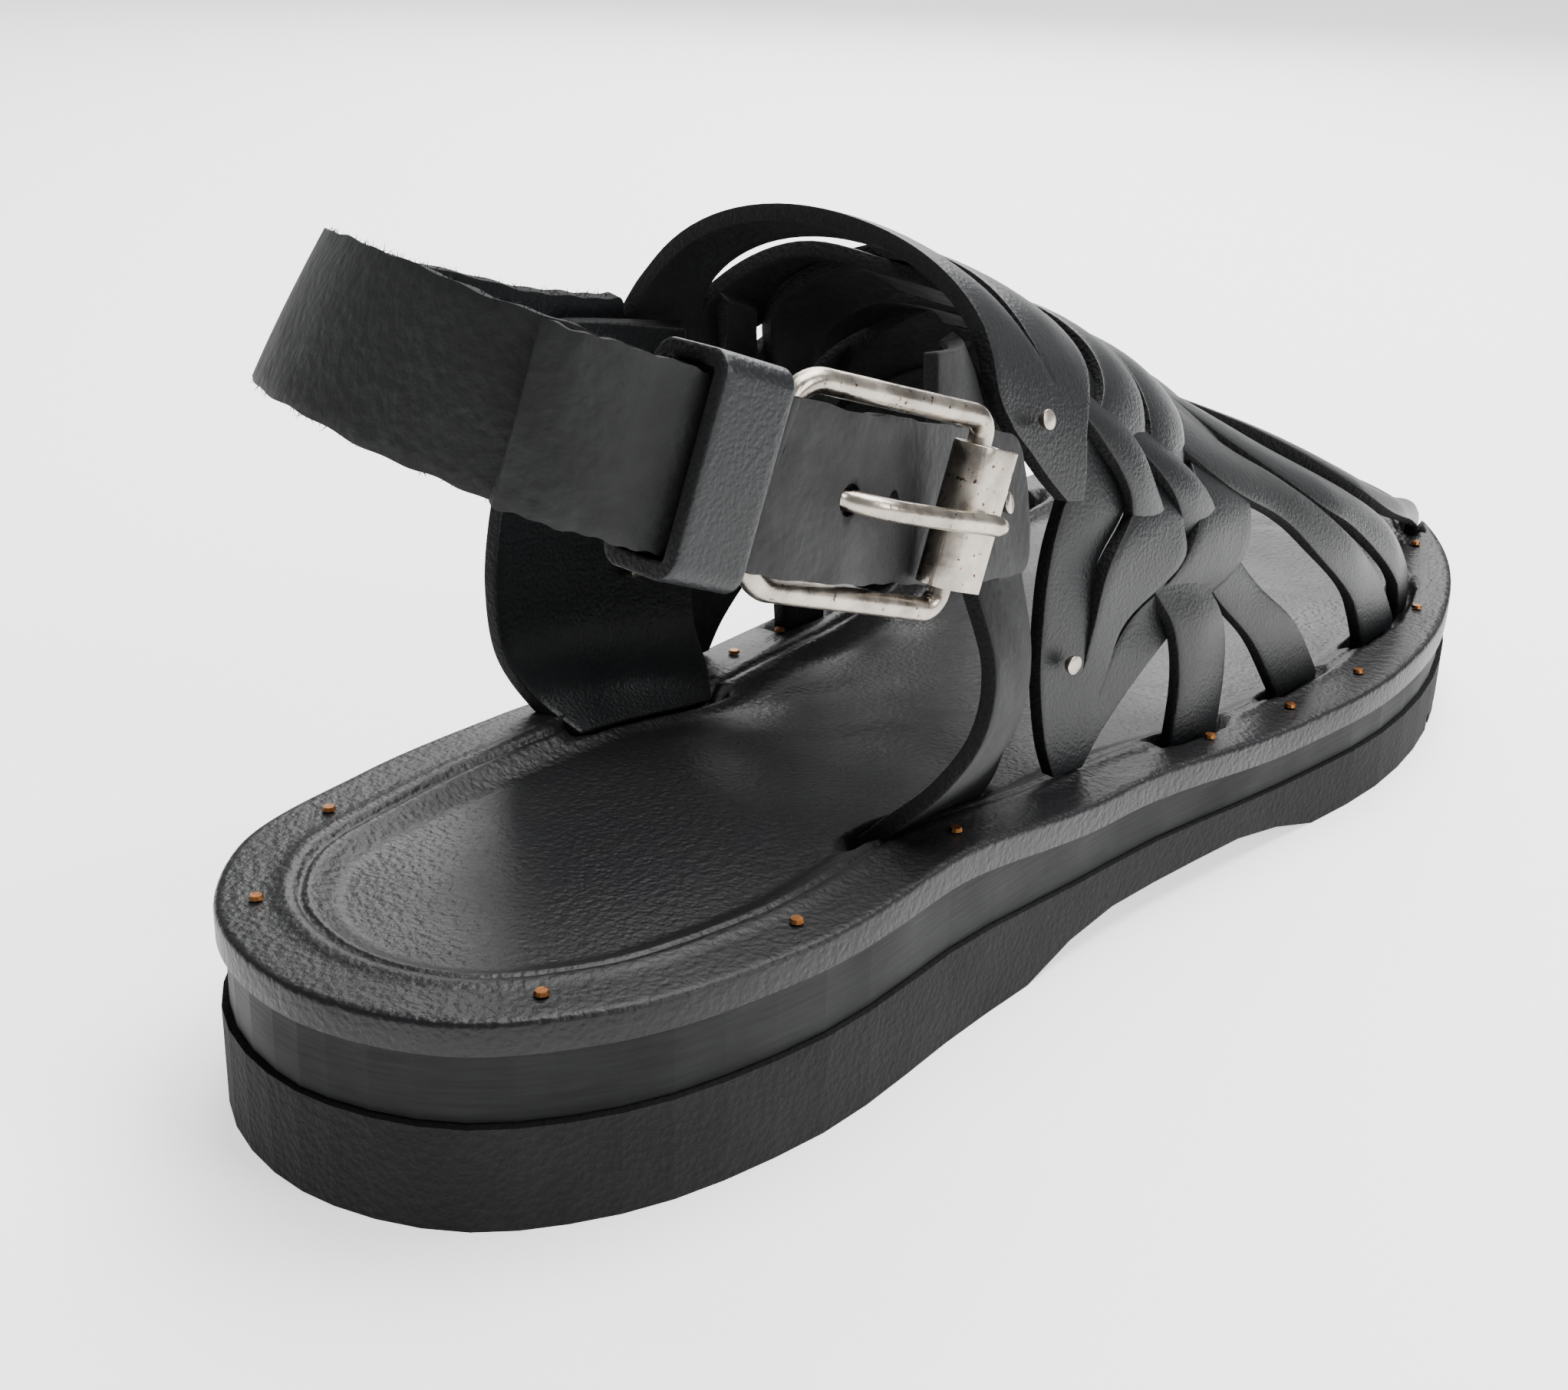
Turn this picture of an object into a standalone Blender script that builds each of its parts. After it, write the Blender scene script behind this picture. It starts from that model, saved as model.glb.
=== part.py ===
"""Woven leather sandal, right foot: sole, footbed, woven upper, heel strap and roller buckle.

The origin is on the floor under the middle of the sole. +Y points to the toe, +X to the
outer (lateral) side and +Z up. All sizes are in metres.
"""

import math

import bmesh
import bpy
from mathutils import Vector

# Sole and last
SOLE_LENGTH = 0.290
BALL_WIDTH = 0.112
HEEL_HEIGHT = 0.0290
WAIST_HEIGHT = 0.0240
BALL_HEIGHT = 0.0205
TOE_HEIGHT = 0.0290
TOE_SPRING = 0.0060
SPRING_START = 0.74
WAIST_RISE = 0.0045
WAIST_START = 0.355
WAIST_END = 0.560
WAIST_SLOPE = 0.045
INSTEP_HEIGHT = 0.104
OUTSOLE_SHARE = 0.50
INSOLE_THICKNESS = 0.0045
MIDSOLE_STEP = 0.0008
LUG_DEPTH = 0.0025
LUG_GROOVE = 0.0032
LUG_REACH = 0.0090
LUG_START = 0.800
LUG_PITCH = 0.036
LUG_COUNT = 5

# Footbed
RIM_WIDTH = 0.0105
BED_DEPTH = 0.0022
BED_SLOPE = 0.0060

# Leather
UPPER_LEATHER = 0.0026
STRAP_LEATHER = 0.0026
QUARTER_LEATHER = 0.0024
KEEPER_LEATHER = 0.0020
STRAP_WIDTH = 0.0192
KEEPER_WIDTH = 0.0100
KEEPER_PLACE = 0.925
KEEPER_CORNER = 0.0016
TAB_CORNER = 0.0050
BILLET_START = 0.780
FOOT_DEPTH = 0.0030
UPPER_RISE = INSTEP_HEIGHT - HEEL_HEIGHT
WEAVE_BITE = 0.0002

# Buckle, rivets and tacks
BUCKLE_WIRE = 0.0030
BUCKLE_SLOT = 0.0208
HINGE_CORNER = 0.0050
FRONT_CORNER = 0.0024
ROLLER_LENGTH = 0.0175
PRONG_WIRE = 0.0026
ROLLER_RADIUS = 0.0030
ROLLER_SHEET = 0.0007
ROLLER_PLATE = 0.0040
HOLE_RADIUS = 0.0014
RIVET_RADIUS = 0.0047
RIVET_HEIGHT = 0.0016
RIVET_SEAT = 0.0005
INSIDE_RIVET = 0.70
INSIDE_LOW = 0.44
INSIDE_HIGH = 0.86
TACK_RADIUS = 0.0010
TACK_HEIGHT = 0.0005

# Clearance between pieces that touch
GAP = 0.0003
SLOT_GAP = 0.0006
SLOT_FROM = 0.80

# Outline of the sole: share of the length, then reach from the middle line to the medial and
# the lateral side as shares of the ball width
OUTLINE = (
    ("heel tip", 0.000, 0.000, 0.000),
    ("heel back", 0.022, 0.190, 0.185),
    ("heel round", 0.070, 0.298, 0.292),
    ("heel", 0.160, 0.340, 0.370),
    ("heel front", 0.300, 0.336, 0.380),
    ("waist", 0.440, 0.350, 0.402),
    ("ball rear", 0.580, 0.414, 0.453),
    ("ball", 0.700, 0.490, 0.490),
    ("toe root", 0.810, 0.490, 0.456),
    ("toes", 0.900, 0.430, 0.364),
    ("toe round", 0.965, 0.290, 0.194),
    ("toe tip", 1.000, 0.070, -0.070),
)

# Last above the footbed: share of the length, reach of the wall's foot to the lateral and
# medial side and place of the ridge as shares of the ball width, ridge height as a share of
# the instep height, and fullness, where a low value squares the shoulders
LAST = (
    ("collar rear", 0.240, 0.260, 0.340, -0.045, 1.135, 0.30),
    ("collar", 0.362, 0.277, 0.340, -0.045, 1.000, 0.30),
    ("instep", 0.431, 0.313, 0.340, -0.036, 0.923, 0.38),
    ("vamp rear", 0.517, 0.348, 0.348, -0.027, 0.817, 0.50),
    ("vamp", 0.621, 0.366, 0.375, -0.018, 0.683, 0.58),
    ("ball", 0.707, 0.384, 0.411, -0.009, 0.577, 0.62),
    ("toe joints", 0.786, 0.380, 0.415, -0.009, 0.481, 0.66),
    ("toes", 0.862, 0.335, 0.390, -0.027, 0.404, 0.70),
    ("toe front", 0.931, 0.262, 0.320, -0.053, 0.346, 0.75),
    ("toe tip", 1.000, 0.150, 0.220, -0.071, 0.310, 0.75),
)

# Fingers of the weave, from the lateral wing or palm over the ridge to the medial slot.
# around: 1 at the lateral foot of the wall, 0 on the ridge, -1 at the medial foot.
# rear and front: the finger's two edges as shares of the sole's length.
# layer: 1 lies over what it crosses, -1 lies under it.
COLLAR_BAND = (
    (0.55, 0.4000, 0.4060, 1.0),
    (0.52, 0.3870, 0.4085, 1.0),
    (0.48, 0.3720, 0.4080, 1.0),
    (0.45, 0.3600, 0.4070, 1.0),
    (0.41, 0.3520, 0.4050, 1.0),
    (0.35, 0.3560, 0.4010, 1.0),
    (0.29, 0.3600, 0.3960, 1.0),
    (0.15, 0.3620, 0.3940, 1.0),
    (0.00, 0.3620, 0.3930, 1.0),
)
PALM_FINGER = (
    (0.55, 0.4060, 0.4120, 1.0),
    (0.52, 0.4085, 0.4155, 1.0),
    (0.48, 0.4080, 0.4185, 1.0),
    (0.45, 0.4070, 0.4220, 1.0),
    (0.41, 0.4050, 0.4310, 1.0),
    (0.35, 0.4010, 0.4480, 1.0),
    (0.28, 0.4060, 0.4620, 0.8),
    (0.15, 0.4180, 0.4740, 1.0),
    (0.00, 0.4280, 0.4800, 1.0),
    (-0.15, 0.4330, 0.4830, -0.8),
    (-0.30, 0.4400, 0.4870, -1.0),
    (-0.42, 0.4640, 0.5000, -1.0),
    (-0.54, 0.4960, 0.5330, 1.0),
    (-0.64, 0.5200, 0.5660, -0.8),
    (-0.74, 0.5500, 0.6000, -1.0),
    (-0.85, 0.5900, 0.6400, -0.2),
    (-1.00, 0.6250, 0.6720, 0.0),
)
WING_TOP = (
    (0.994, 0.4080, 0.4160, 0.0),
    (0.93, 0.3990, 0.4200, 0.0),
    (0.83, 0.3920, 0.4240, 0.0),
    (0.75, 0.3920, 0.4280, -0.3),
    (0.66, 0.3960, 0.4330, -0.8),
    (0.58, 0.4050, 0.4560, -1.0),
    (0.48, 0.4260, 0.4860, -1.0),
    (0.36, 0.4660, 0.5080, 0.6),
    (0.22, 0.4900, 0.5280, 1.0),
    (0.00, 0.5080, 0.5560, 1.0),
    (-0.20, 0.5180, 0.5760, -0.6),
    (-0.40, 0.5240, 0.6120, -1.0),
    (-0.52, 0.5640, 0.6480, 0.4),
    (-0.60, 0.6220, 0.6760, 1.0),
    (-0.70, 0.6600, 0.7100, 1.0),
    (-0.83, 0.7030, 0.7500, 0.4),
    (-1.00, 0.7340, 0.7860, 0.0),
)
WING_MIDDLE = (
    (0.994, 0.4160, 0.4220, 0.0),
    (0.93, 0.4200, 0.4330, 0.0),
    (0.83, 0.4240, 0.4450, 0.0),
    (0.75, 0.4280, 0.4560, 0.4),
    (0.66, 0.4330, 0.5000, 1.0),
    (0.59, 0.4560, 0.5070, 0.4),
    (0.50, 0.4900, 0.5290, -1.0),
    (0.38, 0.5120, 0.5560, 0.2),
    (0.22, 0.5340, 0.5760, 1.0),
    (0.00, 0.5620, 0.6100, 1.0),
    (-0.20, 0.5860, 0.6440, -0.6),
    (-0.40, 0.6280, 0.6960, -0.6),
    (-0.58, 0.6800, 0.7480, 0.6),
    (-0.68, 0.7260, 0.7820, 0.6),
    (-0.84, 0.7760, 0.8140, 0.2),
    (-1.00, 0.8030, 0.8430, 0.0),
)
WING_LOWER = (
    (0.994, 0.4220, 0.4300, 0.0),
    (0.93, 0.4330, 0.4470, 0.0),
    (0.83, 0.4450, 0.4850, -0.3),
    (0.75, 0.4700, 0.5280, -1.0),
    (0.67, 0.5000, 0.5680, 0.6),
    (0.58, 0.5240, 0.5880, 0.6),
    (0.46, 0.5480, 0.6100, -1.0),
    (0.30, 0.5800, 0.6340, -1.0),
    (0.14, 0.6060, 0.6560, 0.6),
    (0.00, 0.6280, 0.6760, 1.0),
    (-0.16, 0.6580, 0.7060, -0.6),
    (-0.34, 0.7080, 0.7520, 0.6),
    (-0.50, 0.7560, 0.7980, 1.0),
    (-0.66, 0.8100, 0.8480, 0.8),
    (-0.82, 0.8760, 0.9080, 0.2),
    (-1.00, 0.9230, 0.9500, 0.0),
)
PALM_TONGUE = (
    (0.30, 0.4040, 0.4300, -1.0),
    (0.37, 0.4160, 0.4440, -1.0),
    (0.46, 0.4340, 0.4690, 0.8),
    (0.54, 0.4540, 0.4800, 1.0),
    (0.63, 0.4660, 0.5080, -0.8),
    (0.71, 0.4810, 0.5320, -0.2),
    (0.78, 0.4950, 0.5440, 1.0),
    (0.88, 0.5060, 0.5530, 0.6),
    (1.00, 0.5080, 0.5560, 0.0),
)

# Quarters: height over the rim as a share of the upper's rise, then distance from the middle
# line as a share of the ball width and place along of the rear edge, and the same of the front
LATERAL_QUARTER = (
    ("slot", -FOOT_DEPTH / UPPER_RISE, 0.2411, 0.272, 0.2366, 0.372),
    ("foot", 0.0200, 0.2812, 0.268, 0.2429, 0.386),
    ("bow foot", 0.1200, 0.3438, 0.274, 0.2500, 0.392),
    ("bow", 0.2267, 0.3750, 0.286, 0.2500, 0.394),
    ("bow top", 0.3467, 0.3679, 0.296, 0.2482, 0.394),
    ("waist", 0.4800, 0.3259, 0.300, 0.2411, 0.392),
    ("tab seat", 0.6400, 0.2902, 0.298, 0.2277, 0.388),
    ("shoulder", 0.7733, 0.2679, 0.297, 0.1964, 0.384),
    ("top", 0.8800, 0.2545, 0.301, 0.1607, 0.370),
)
MEDIAL_QUARTER = (
    ("slot", -FOOT_DEPTH / UPPER_RISE, -0.2411, 0.278, -0.2411, 0.386),
    ("foot", 0.0200, -0.3036, 0.270, -0.2679, 0.396),
    ("bow foot", 0.1200, -0.3393, 0.260, -0.2946, 0.396),
    ("bow", 0.2533, -0.3464, 0.256, -0.2991, 0.394),
    ("waist", 0.3867, -0.3438, 0.258, -0.2946, 0.388),
    ("tab seat", 0.5467, -0.3348, 0.266, -0.2875, 0.384),
    ("shoulder", 0.6933, -0.3232, 0.280, -0.2750, 0.380),
    ("top", 0.8000, -0.3107, 0.300, -0.2589, 0.370),
)

# Heel strap along its middle line: place across as a share of the ball width, along as a share
# of the length, height over the rim as a share of the upper's rise, and lean in degrees
HEEL_STRAP = (
    ("medial end", -0.3321, 0.3466, 0.7174, -5.0),
    ("medial rivet", -0.3455, 0.3103, 0.7156, -5.0),
    ("medial side", -0.3652, 0.2621, 0.7467, -5.0),
    ("medial bend", -0.3527, 0.1897, 0.8400, -6.0),
    ("medial back", -0.2786, 0.1276, 0.9267, -18.0),
    ("back left", -0.1562, 0.0776, 0.9867, -30.0),
    ("back", 0.0179, 0.0386, 1.0200, -29.0),
    ("back right", 0.1786, 0.0269, 1.0067, -17.0),
    ("lateral back", 0.2857, 0.0397, 0.9667, -8.0),
    ("lateral bend", 0.3438, 0.0759, 0.9000, -3.0),
    ("hinge", 0.3643, 0.1172, 0.8400, 0.0),
)

# Billet past the hinge bar, with the same columns
BILLET = (
    ("prong hole", 0.3991, 0.1552, 0.7867, 0.0),
    ("second hole", 0.3875, 0.1914, 0.7467, 0.0),
    ("under roller", 0.3696, 0.2293, 0.7000, 0.0),
    ("off roller", 0.3545, 0.2655, 0.6602, -6.0),
    ("tab rivet", 0.3300, 0.3103, 0.6263, -14.0),
    ("tab end", 0.3175, 0.3466, 0.6134, -14.0),
)

# Middles of the buckle's two bars, with the same columns
BUCKLE = (
    ("hinge bar", 0.3652, 0.1245, 0.8293, 0.0),
    ("front bar", 0.4196, 0.2303, 0.6960, 0.0),
)

# Tacks in the footbed's rim: share of the length, and side
TACKS = (
    (0.060, 1), (0.175, 1), (0.300, 1), (0.530, 1), (0.610, 1), (0.685, 1), (0.812, 1), (0.900, 1),
    (0.040, -1), (0.120, -1), (0.440, -1), (0.495, -1), (0.590, -1), (0.685, -1), (0.812, -1), (0.890, -1),
)

# Rivets through the weave: around the last, along it, and layer, with the fingers' columns
WEAVE_RIVETS = (
    ("rivet_palm_", 0.44, 0.3800, 1.0),
    ("rivet_wing_", 0.80, 0.4085, 0.0),
)

MATERIALS = {
    "outsole_rubber": ((0.010, 0.010, 0.010), 0.92, 0.0),
    "midsole_rubber": ((0.013, 0.013, 0.014), 0.62, 0.0),
    "insole_leather": ((0.014, 0.013, 0.014), 0.46, 0.0),
    "strap_leather": ((0.012, 0.012, 0.013), 0.42, 0.0),
    "nickel": ((0.62, 0.58, 0.52), 0.22, 1.0),
    "brass": ((0.60, 0.36, 0.10), 0.35, 1.0),
}


def new_collection(name):
    collection = bpy.data.collections.new(name)
    bpy.context.scene.collection.children.link(collection)
    return collection


def material(name):
    found = bpy.data.materials.get(name)
    if found:
        return found
    colour, roughness, metallic = MATERIALS[name]
    made = bpy.data.materials.new(name)
    made.use_nodes = True
    shader = made.node_tree.nodes["Principled BSDF"]
    shader.inputs["Base Color"].default_value = (*colour, 1.0)
    shader.inputs["Roughness"].default_value = roughness
    shader.inputs["Metallic"].default_value = metallic
    made.diffuse_color = (*colour, 1.0)
    return made


def place(name, mesh, collection, finish=None):
    thing = bpy.data.objects.new(name, mesh)
    collection.objects.link(thing)
    if finish:
        mesh.materials.clear()
        mesh.materials.append(material(finish))
    return thing


def cutter(name, mesh, collection):
    thing = place(name, mesh, collection)
    thing.hide_render = True
    thing.display_type = "WIRE"
    return thing


def smooth(mesh, angle=40.0):
    mesh.shade_smooth()
    mesh.set_sharp_from_angle(angle=math.radians(angle))


def baked(thing):
    """The object's mesh with its modifiers applied."""
    graph = bpy.context.evaluated_depsgraph_get()
    return bpy.data.meshes.new_from_object(thing.evaluated_get(graph))


def curve_through(rows, share):
    """A point at a share from 0 to 1 along a smooth curve through rows of equal length."""
    last = len(rows) - 1
    at = min(max(share, 0.0), 1.0) * last
    i = min(int(at), last - 1)
    t = at - i
    before, start, end, after = (rows[max(i - 1, 0)], rows[i], rows[i + 1], rows[min(i + 2, last)])
    point = []
    for a, b, c, d in zip(before, start, end, after):
        slope_in = (c - a) / 2
        slope_out = (d - b) / 2
        point.append(
            (2 * t**3 - 3 * t**2 + 1) * b
            + (t**3 - 2 * t**2 + t) * slope_in
            + (3 * t**2 - 2 * t**3) * c
            + (t**3 - t**2) * slope_out
        )
    return point


def table_at(rows, key):
    """The columns of a table, eased between its rows at the given first-column value."""
    low = rows[0]
    for high in rows[1:]:
        if key <= high[0] or high is rows[-1]:
            t = min(max((key - low[0]) / (high[0] - low[0]), 0.0), 1.0)
            return [a + (b - a) * t for a, b in zip(low[1:], high[1:])]
        low = high


def outline_points(per_span=8):
    """The sole's outline, anticlockwise from the heel tip, as a closed smooth curve."""
    lateral = [(row[3] * BALL_WIDTH, row[1] * SOLE_LENGTH) for row in OUTLINE]
    medial = [(-row[2] * BALL_WIDTH, row[1] * SOLE_LENGTH) for row in OUTLINE[-2:0:-1]]
    ring = lateral + medial
    count = len(ring)
    points = []
    for i in range(count):
        spans = [Vector(ring[(i + k) % count]) for k in (-1, 0, 1, 2)]
        chords = [(b - a).length for a, b in zip(spans, spans[1:])]
        steps = [b - a for a, b in zip(spans, spans[1:])]
        tangent_in = (steps[1] / chords[1] * chords[0] + steps[0] / chords[0] * chords[1])
        tangent_in *= chords[1] / (chords[0] + chords[1])
        tangent_out = (steps[2] / chords[2] * chords[1] + steps[1] / chords[1] * chords[2])
        tangent_out *= chords[1] / (chords[1] + chords[2])
        for k in range(per_span):
            t = k / per_span
            points.append(
                spans[1] * (2 * t**3 - 3 * t**2 + 1)
                + tangent_in * (t**3 - 2 * t**2 + t)
                + spans[2] * (3 * t**2 - 2 * t**3)
                + tangent_out * (t**3 - t**2)
            )
    return points


RING = outline_points()
HALF = len(RING) // 2


def side_reach(along, side):
    """Distance across of the sole's edge at a place along it, on one side."""
    chain = RING[: HALF + 1] if side > 0 else [RING[0]] + RING[:HALF - 1:-1]
    for a, b in zip(chain, chain[1:]):
        if a.y <= along <= b.y:
            return a.x + (b.x - a.x) * (along - a.y) / max(b.y - a.y, 1e-9)
    return chain[-1].x if along > SOLE_LENGTH / 2 else chain[0].x


def edge_distance(x, y):
    """Distance from a place on the footbed to the sole's outline."""
    here = Vector((x, y))
    best = 1.0
    for a, b in zip(RING, RING[1:] + RING[:1]):
        span = b - a
        t = min(max((here - a).dot(span) / max(span.length_squared, 1e-12), 0.0), 1.0)
        best = min(best, (here - a - span * t).length)
    return best


def ease(value):
    t = min(max(value, 0.0), 1.0)
    return t * t * (3 - 2 * t)


def rim_height(y):
    """Height of the footbed's rim along the shoe."""
    rows = (
        (0.00, HEEL_HEIGHT),
        (0.26, HEEL_HEIGHT),
        (0.42, WAIST_HEIGHT),
        (0.60, BALL_HEIGHT),
        (0.80, BALL_HEIGHT + 0.15 * TOE_SPRING),
        (1.00, TOE_HEIGHT),
    )
    share = y / SOLE_LENGTH
    for (start, low), (end, high) in zip(rows, rows[1:]):
        if share <= end:
            return low + (high - low) * ease((share - start) / (end - start))
    return TOE_HEIGHT


def spring_height(y):
    """Height of the ground line: flat, then curling up to the toe."""
    return TOE_SPRING * max((y / SOLE_LENGTH - SPRING_START) / (1 - SPRING_START), 0.0) ** 2


def ground_height(y):
    """Height of the outsole's underside: heel block, raised waist, forefoot and toe spring."""
    share = y / SOLE_LENGTH
    rise = WAIST_RISE * (ease((share - WAIST_START) / WAIST_SLOPE) - ease((share - WAIST_END) / WAIST_SLOPE))
    return rise + spring_height(y)


def split_height(y):
    """Height where the midsole sits on the outsole."""
    ground = spring_height(y)
    return ground + (rim_height(y) - ground) * OUTSOLE_SHARE


def footbed_height(x, y):
    """Top of the moulded footbed: a flat rim round a shallow bed."""
    inside = edge_distance(x, y)
    return rim_height(y) - BED_DEPTH * ease((inside - RIM_WIDTH) / BED_SLOPE)


def sole_rows(count):
    """Places along the sole, close together at its two round ends."""
    return [SOLE_LENGTH * (1 - math.cos(math.pi * i / count)) / 2 for i in range(count + 1)]


def sole_layer(name, top, bottom, inset, columns, rows, collection, finish):
    """A slab with the sole's outline between two height functions."""
    bm = bmesh.new()
    along = sole_rows(rows)
    bmesh.ops.create_grid(bm, x_segments=len(columns) - 1, y_segments=rows, size=1.0)
    verts = sorted(bm.verts, key=lambda v: (round(v.co.y, 4), round(v.co.x, 4)))
    shrink = (SOLE_LENGTH - 2 * inset) / SOLE_LENGTH
    for i, y in enumerate(along):
        left = side_reach(y, -1)
        right = side_reach(y, 1)
        taper = min(1.0, (right - left) / (6 * inset)) if inset else 1.0
        for k, share in enumerate(columns):
            low = left + inset * taper
            high = right - inset * taper
            x = low + (high - low) * share
            spot = inset + y * shrink
            verts[i * len(columns) + k].co = (x, spot, top(x, spot))
    flipped = bmesh.ops.extrude_face_region(bm, geom=bm.faces[:])
    for part in flipped["geom"]:
        if isinstance(part, bmesh.types.BMVert):
            part.co.z = bottom(part.co.y)
    bmesh.ops.remove_doubles(bm, verts=bm.verts, dist=0.00005)
    bmesh.ops.dissolve_degenerate(bm, edges=bm.edges, dist=0.00002)
    bmesh.ops.recalc_face_normals(bm, faces=bm.faces)
    mesh = bpy.data.meshes.new(name)
    bm.to_mesh(mesh)
    bm.free()
    smooth(mesh, 35)
    return place(name, mesh, collection, finish)


def lug_grooves(collection):
    """Cutters of the grooves between the lugs round the edge of the toe."""
    grooves = []
    for side in (-1, 1):
        for k in range(LUG_COUNT):
            y = (LUG_START + k * LUG_PITCH) * SOLE_LENGTH
            edge = Vector((side_reach(y, side), y, ground_height(y)))
            ahead = Vector((side_reach(y + 0.002, side), y + 0.002, edge.z))
            along = (ahead - edge).normalized()
            bm = bmesh.new()
            bmesh.ops.create_cube(bm, size=2.0)
            mesh = bpy.data.meshes.new("groove")
            bm.to_mesh(mesh)
            bm.free()
            groove = cutter("lug_groove_%d_%d" % (k, side + 1), mesh, collection)
            groove.location = edge
            groove.rotation_euler.z = math.atan2(along.y, along.x) - math.pi / 2
            groove.scale = (LUG_REACH, LUG_GROOVE / 2, LUG_DEPTH)
            grooves.append(groove)
    return grooves


def last_point(around, y, lift=0.0):
    """A point on the last: around the foot from wall to wall, along it, and off its surface."""
    fixed = last_base(around, y)
    if lift:
        step = 0.004
        nearer = max(around - step, -1.0)
        farther = min(around + step, 1.0)
        across = last_base(farther, y) - last_base(nearer, y)
        forward = last_base(around, y + 0.001) - last_base(around, y - 0.001)
        normal = across.cross(forward)
        if abs(around) > 0.9:
            normal = normal.normalized().lerp(Vector((math.copysign(1, around), 0, 0)), 0.7)
        fixed = fixed + normal.normalized() * lift
    return fixed


SECTION_STEPS = 40
LAST_TABLE = [row[1:] for row in LAST]


def section(y, side):
    """Half of the last's cross-section as points from the ridge to the wall's foot."""
    lateral, medial, ridge, height, fullness = table_at(LAST_TABLE, y / SOLE_LENGTH)
    reach = (lateral - ridge) if side > 0 else (medial + ridge)
    floor = rim_height(y)
    points = []
    for i in range(SECTION_STEPS + 1):
        angle = math.pi / 2 * (1 - (1 - i / SECTION_STEPS) ** 2)
        x = ridge * BALL_WIDTH + side * reach * BALL_WIDTH * math.sin(angle)
        rise = (height * INSTEP_HEIGHT - floor) * max(math.cos(angle), 0.0) ** fullness
        points.append(Vector((x, y, floor + rise)))
    return points


SECTION_CACHE = {}


def last_base(around, y):
    side = 1 if around >= 0 else -1
    key = (round(y, 6), side)
    if key not in SECTION_CACHE:
        points = section(y, side)
        lengths = [0.0]
        for a, b in zip(points, points[1:]):
            lengths.append(lengths[-1] + (b - a).length)
        SECTION_CACHE[key] = (points, lengths)
    points, lengths = SECTION_CACHE[key]
    want = min(abs(around), 1.0) * lengths[-1]
    for i in range(len(points) - 1):
        if want <= lengths[i + 1]:
            t = (want - lengths[i]) / (lengths[i + 1] - lengths[i])
            return points[i].lerp(points[i + 1], t)
    return points[-1].copy()


def mirrored(rows):
    return [(-row[0], row[1], row[2], row[3]) for row in rows]


def finger_rows(rows, per_span, foot):
    """Stations of a finger, smoothed between the table's rows, with its foot in the slot."""
    count = (len(rows) - 1) * per_span
    stations = [curve_through(rows, i / count) for i in range(count + 1)]
    if foot:
        stations.append([stations[-1][0], stations[-1][1], stations[-1][2], 0.0, foot])
    return stations


def ribbon(bm, stations, edges=2):
    """An open strip of faces bent over the last; gives its rows of vertices."""
    built = []
    for station in stations:
        around, rear, front, layer = station[:4]
        sink = station[4] if len(station) > 4 else 0.0
        row = []
        for k in range(edges + 1):
            y = (rear + (front - rear) * k / edges) * SOLE_LENGTH
            point = last_point(around, y, layer * (UPPER_LEATHER - WEAVE_BITE) / 2)
            point.z -= sink
            row.append(bm.verts.new(point))
        built.append(row)
    for a, b in zip(built, built[1:]):
        for k in range(edges):
            bm.faces.new((a[k], a[k + 1], b[k + 1], b[k]))
    return built


def leather(name, strips, thickness, collection, per_span=2, foot=FOOT_DEPTH):
    """A sheet of leather cut into fingers, thickened to both sides of its middle surface."""
    bm = bmesh.new()
    for rows, has_foot in strips:
        ribbon(bm, finger_rows(rows, per_span, foot if has_foot else 0.0))
    bmesh.ops.remove_doubles(bm, verts=bm.verts, dist=0.00012)
    bmesh.ops.recalc_face_normals(bm, faces=bm.faces)
    mesh = bpy.data.meshes.new(name)
    bm.to_mesh(mesh)
    bm.free()
    sheet = cutter(name, mesh, collection)
    thicken = sheet.modifiers.new("thickness", "SOLIDIFY")
    thicken.thickness = thickness
    thicken.offset = 0.0
    thicken.use_even_offset = False
    return sheet


def make_upper(parts, cutters):
    """The woven upper: five sheets, interlaced and joined where they cross."""
    palms = [(COLLAR_BAND, False), (mirrored(COLLAR_BAND), False), (PALM_FINGER, True)]
    wing = [(WING_TOP, True), (WING_MIDDLE, True), (WING_LOWER, True)]
    far_wing = [(mirrored(rows), foot) for rows, foot in wing]
    sheets = [
        leather("palms", palms, UPPER_LEATHER, cutters),
        leather("far_palm", [(under(mirrored(PALM_FINGER)), True)], UPPER_LEATHER, cutters),
        leather("wing", wing, UPPER_LEATHER, cutters),
        leather("far_wing", [(under(rows), foot) for rows, foot in far_wing], UPPER_LEATHER, cutters),
        leather("tongue", [(PALM_TONGUE, True)], UPPER_LEATHER, cutters),
        leather("far_tongue", [(mirrored(PALM_TONGUE), True)], UPPER_LEATHER, cutters),
    ]
    base = cutter("upper_weave", baked(sheets[0]), cutters)
    for sheet in sheets[1:]:
        join = base.modifiers.new(sheet.name, "BOOLEAN")
        join.operation = "UNION"
        join.object = sheet
        join.use_self = True
    mesh = baked(base)
    smooth(mesh, 50)
    return place("upper", mesh, parts, "strap_leather")


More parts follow.
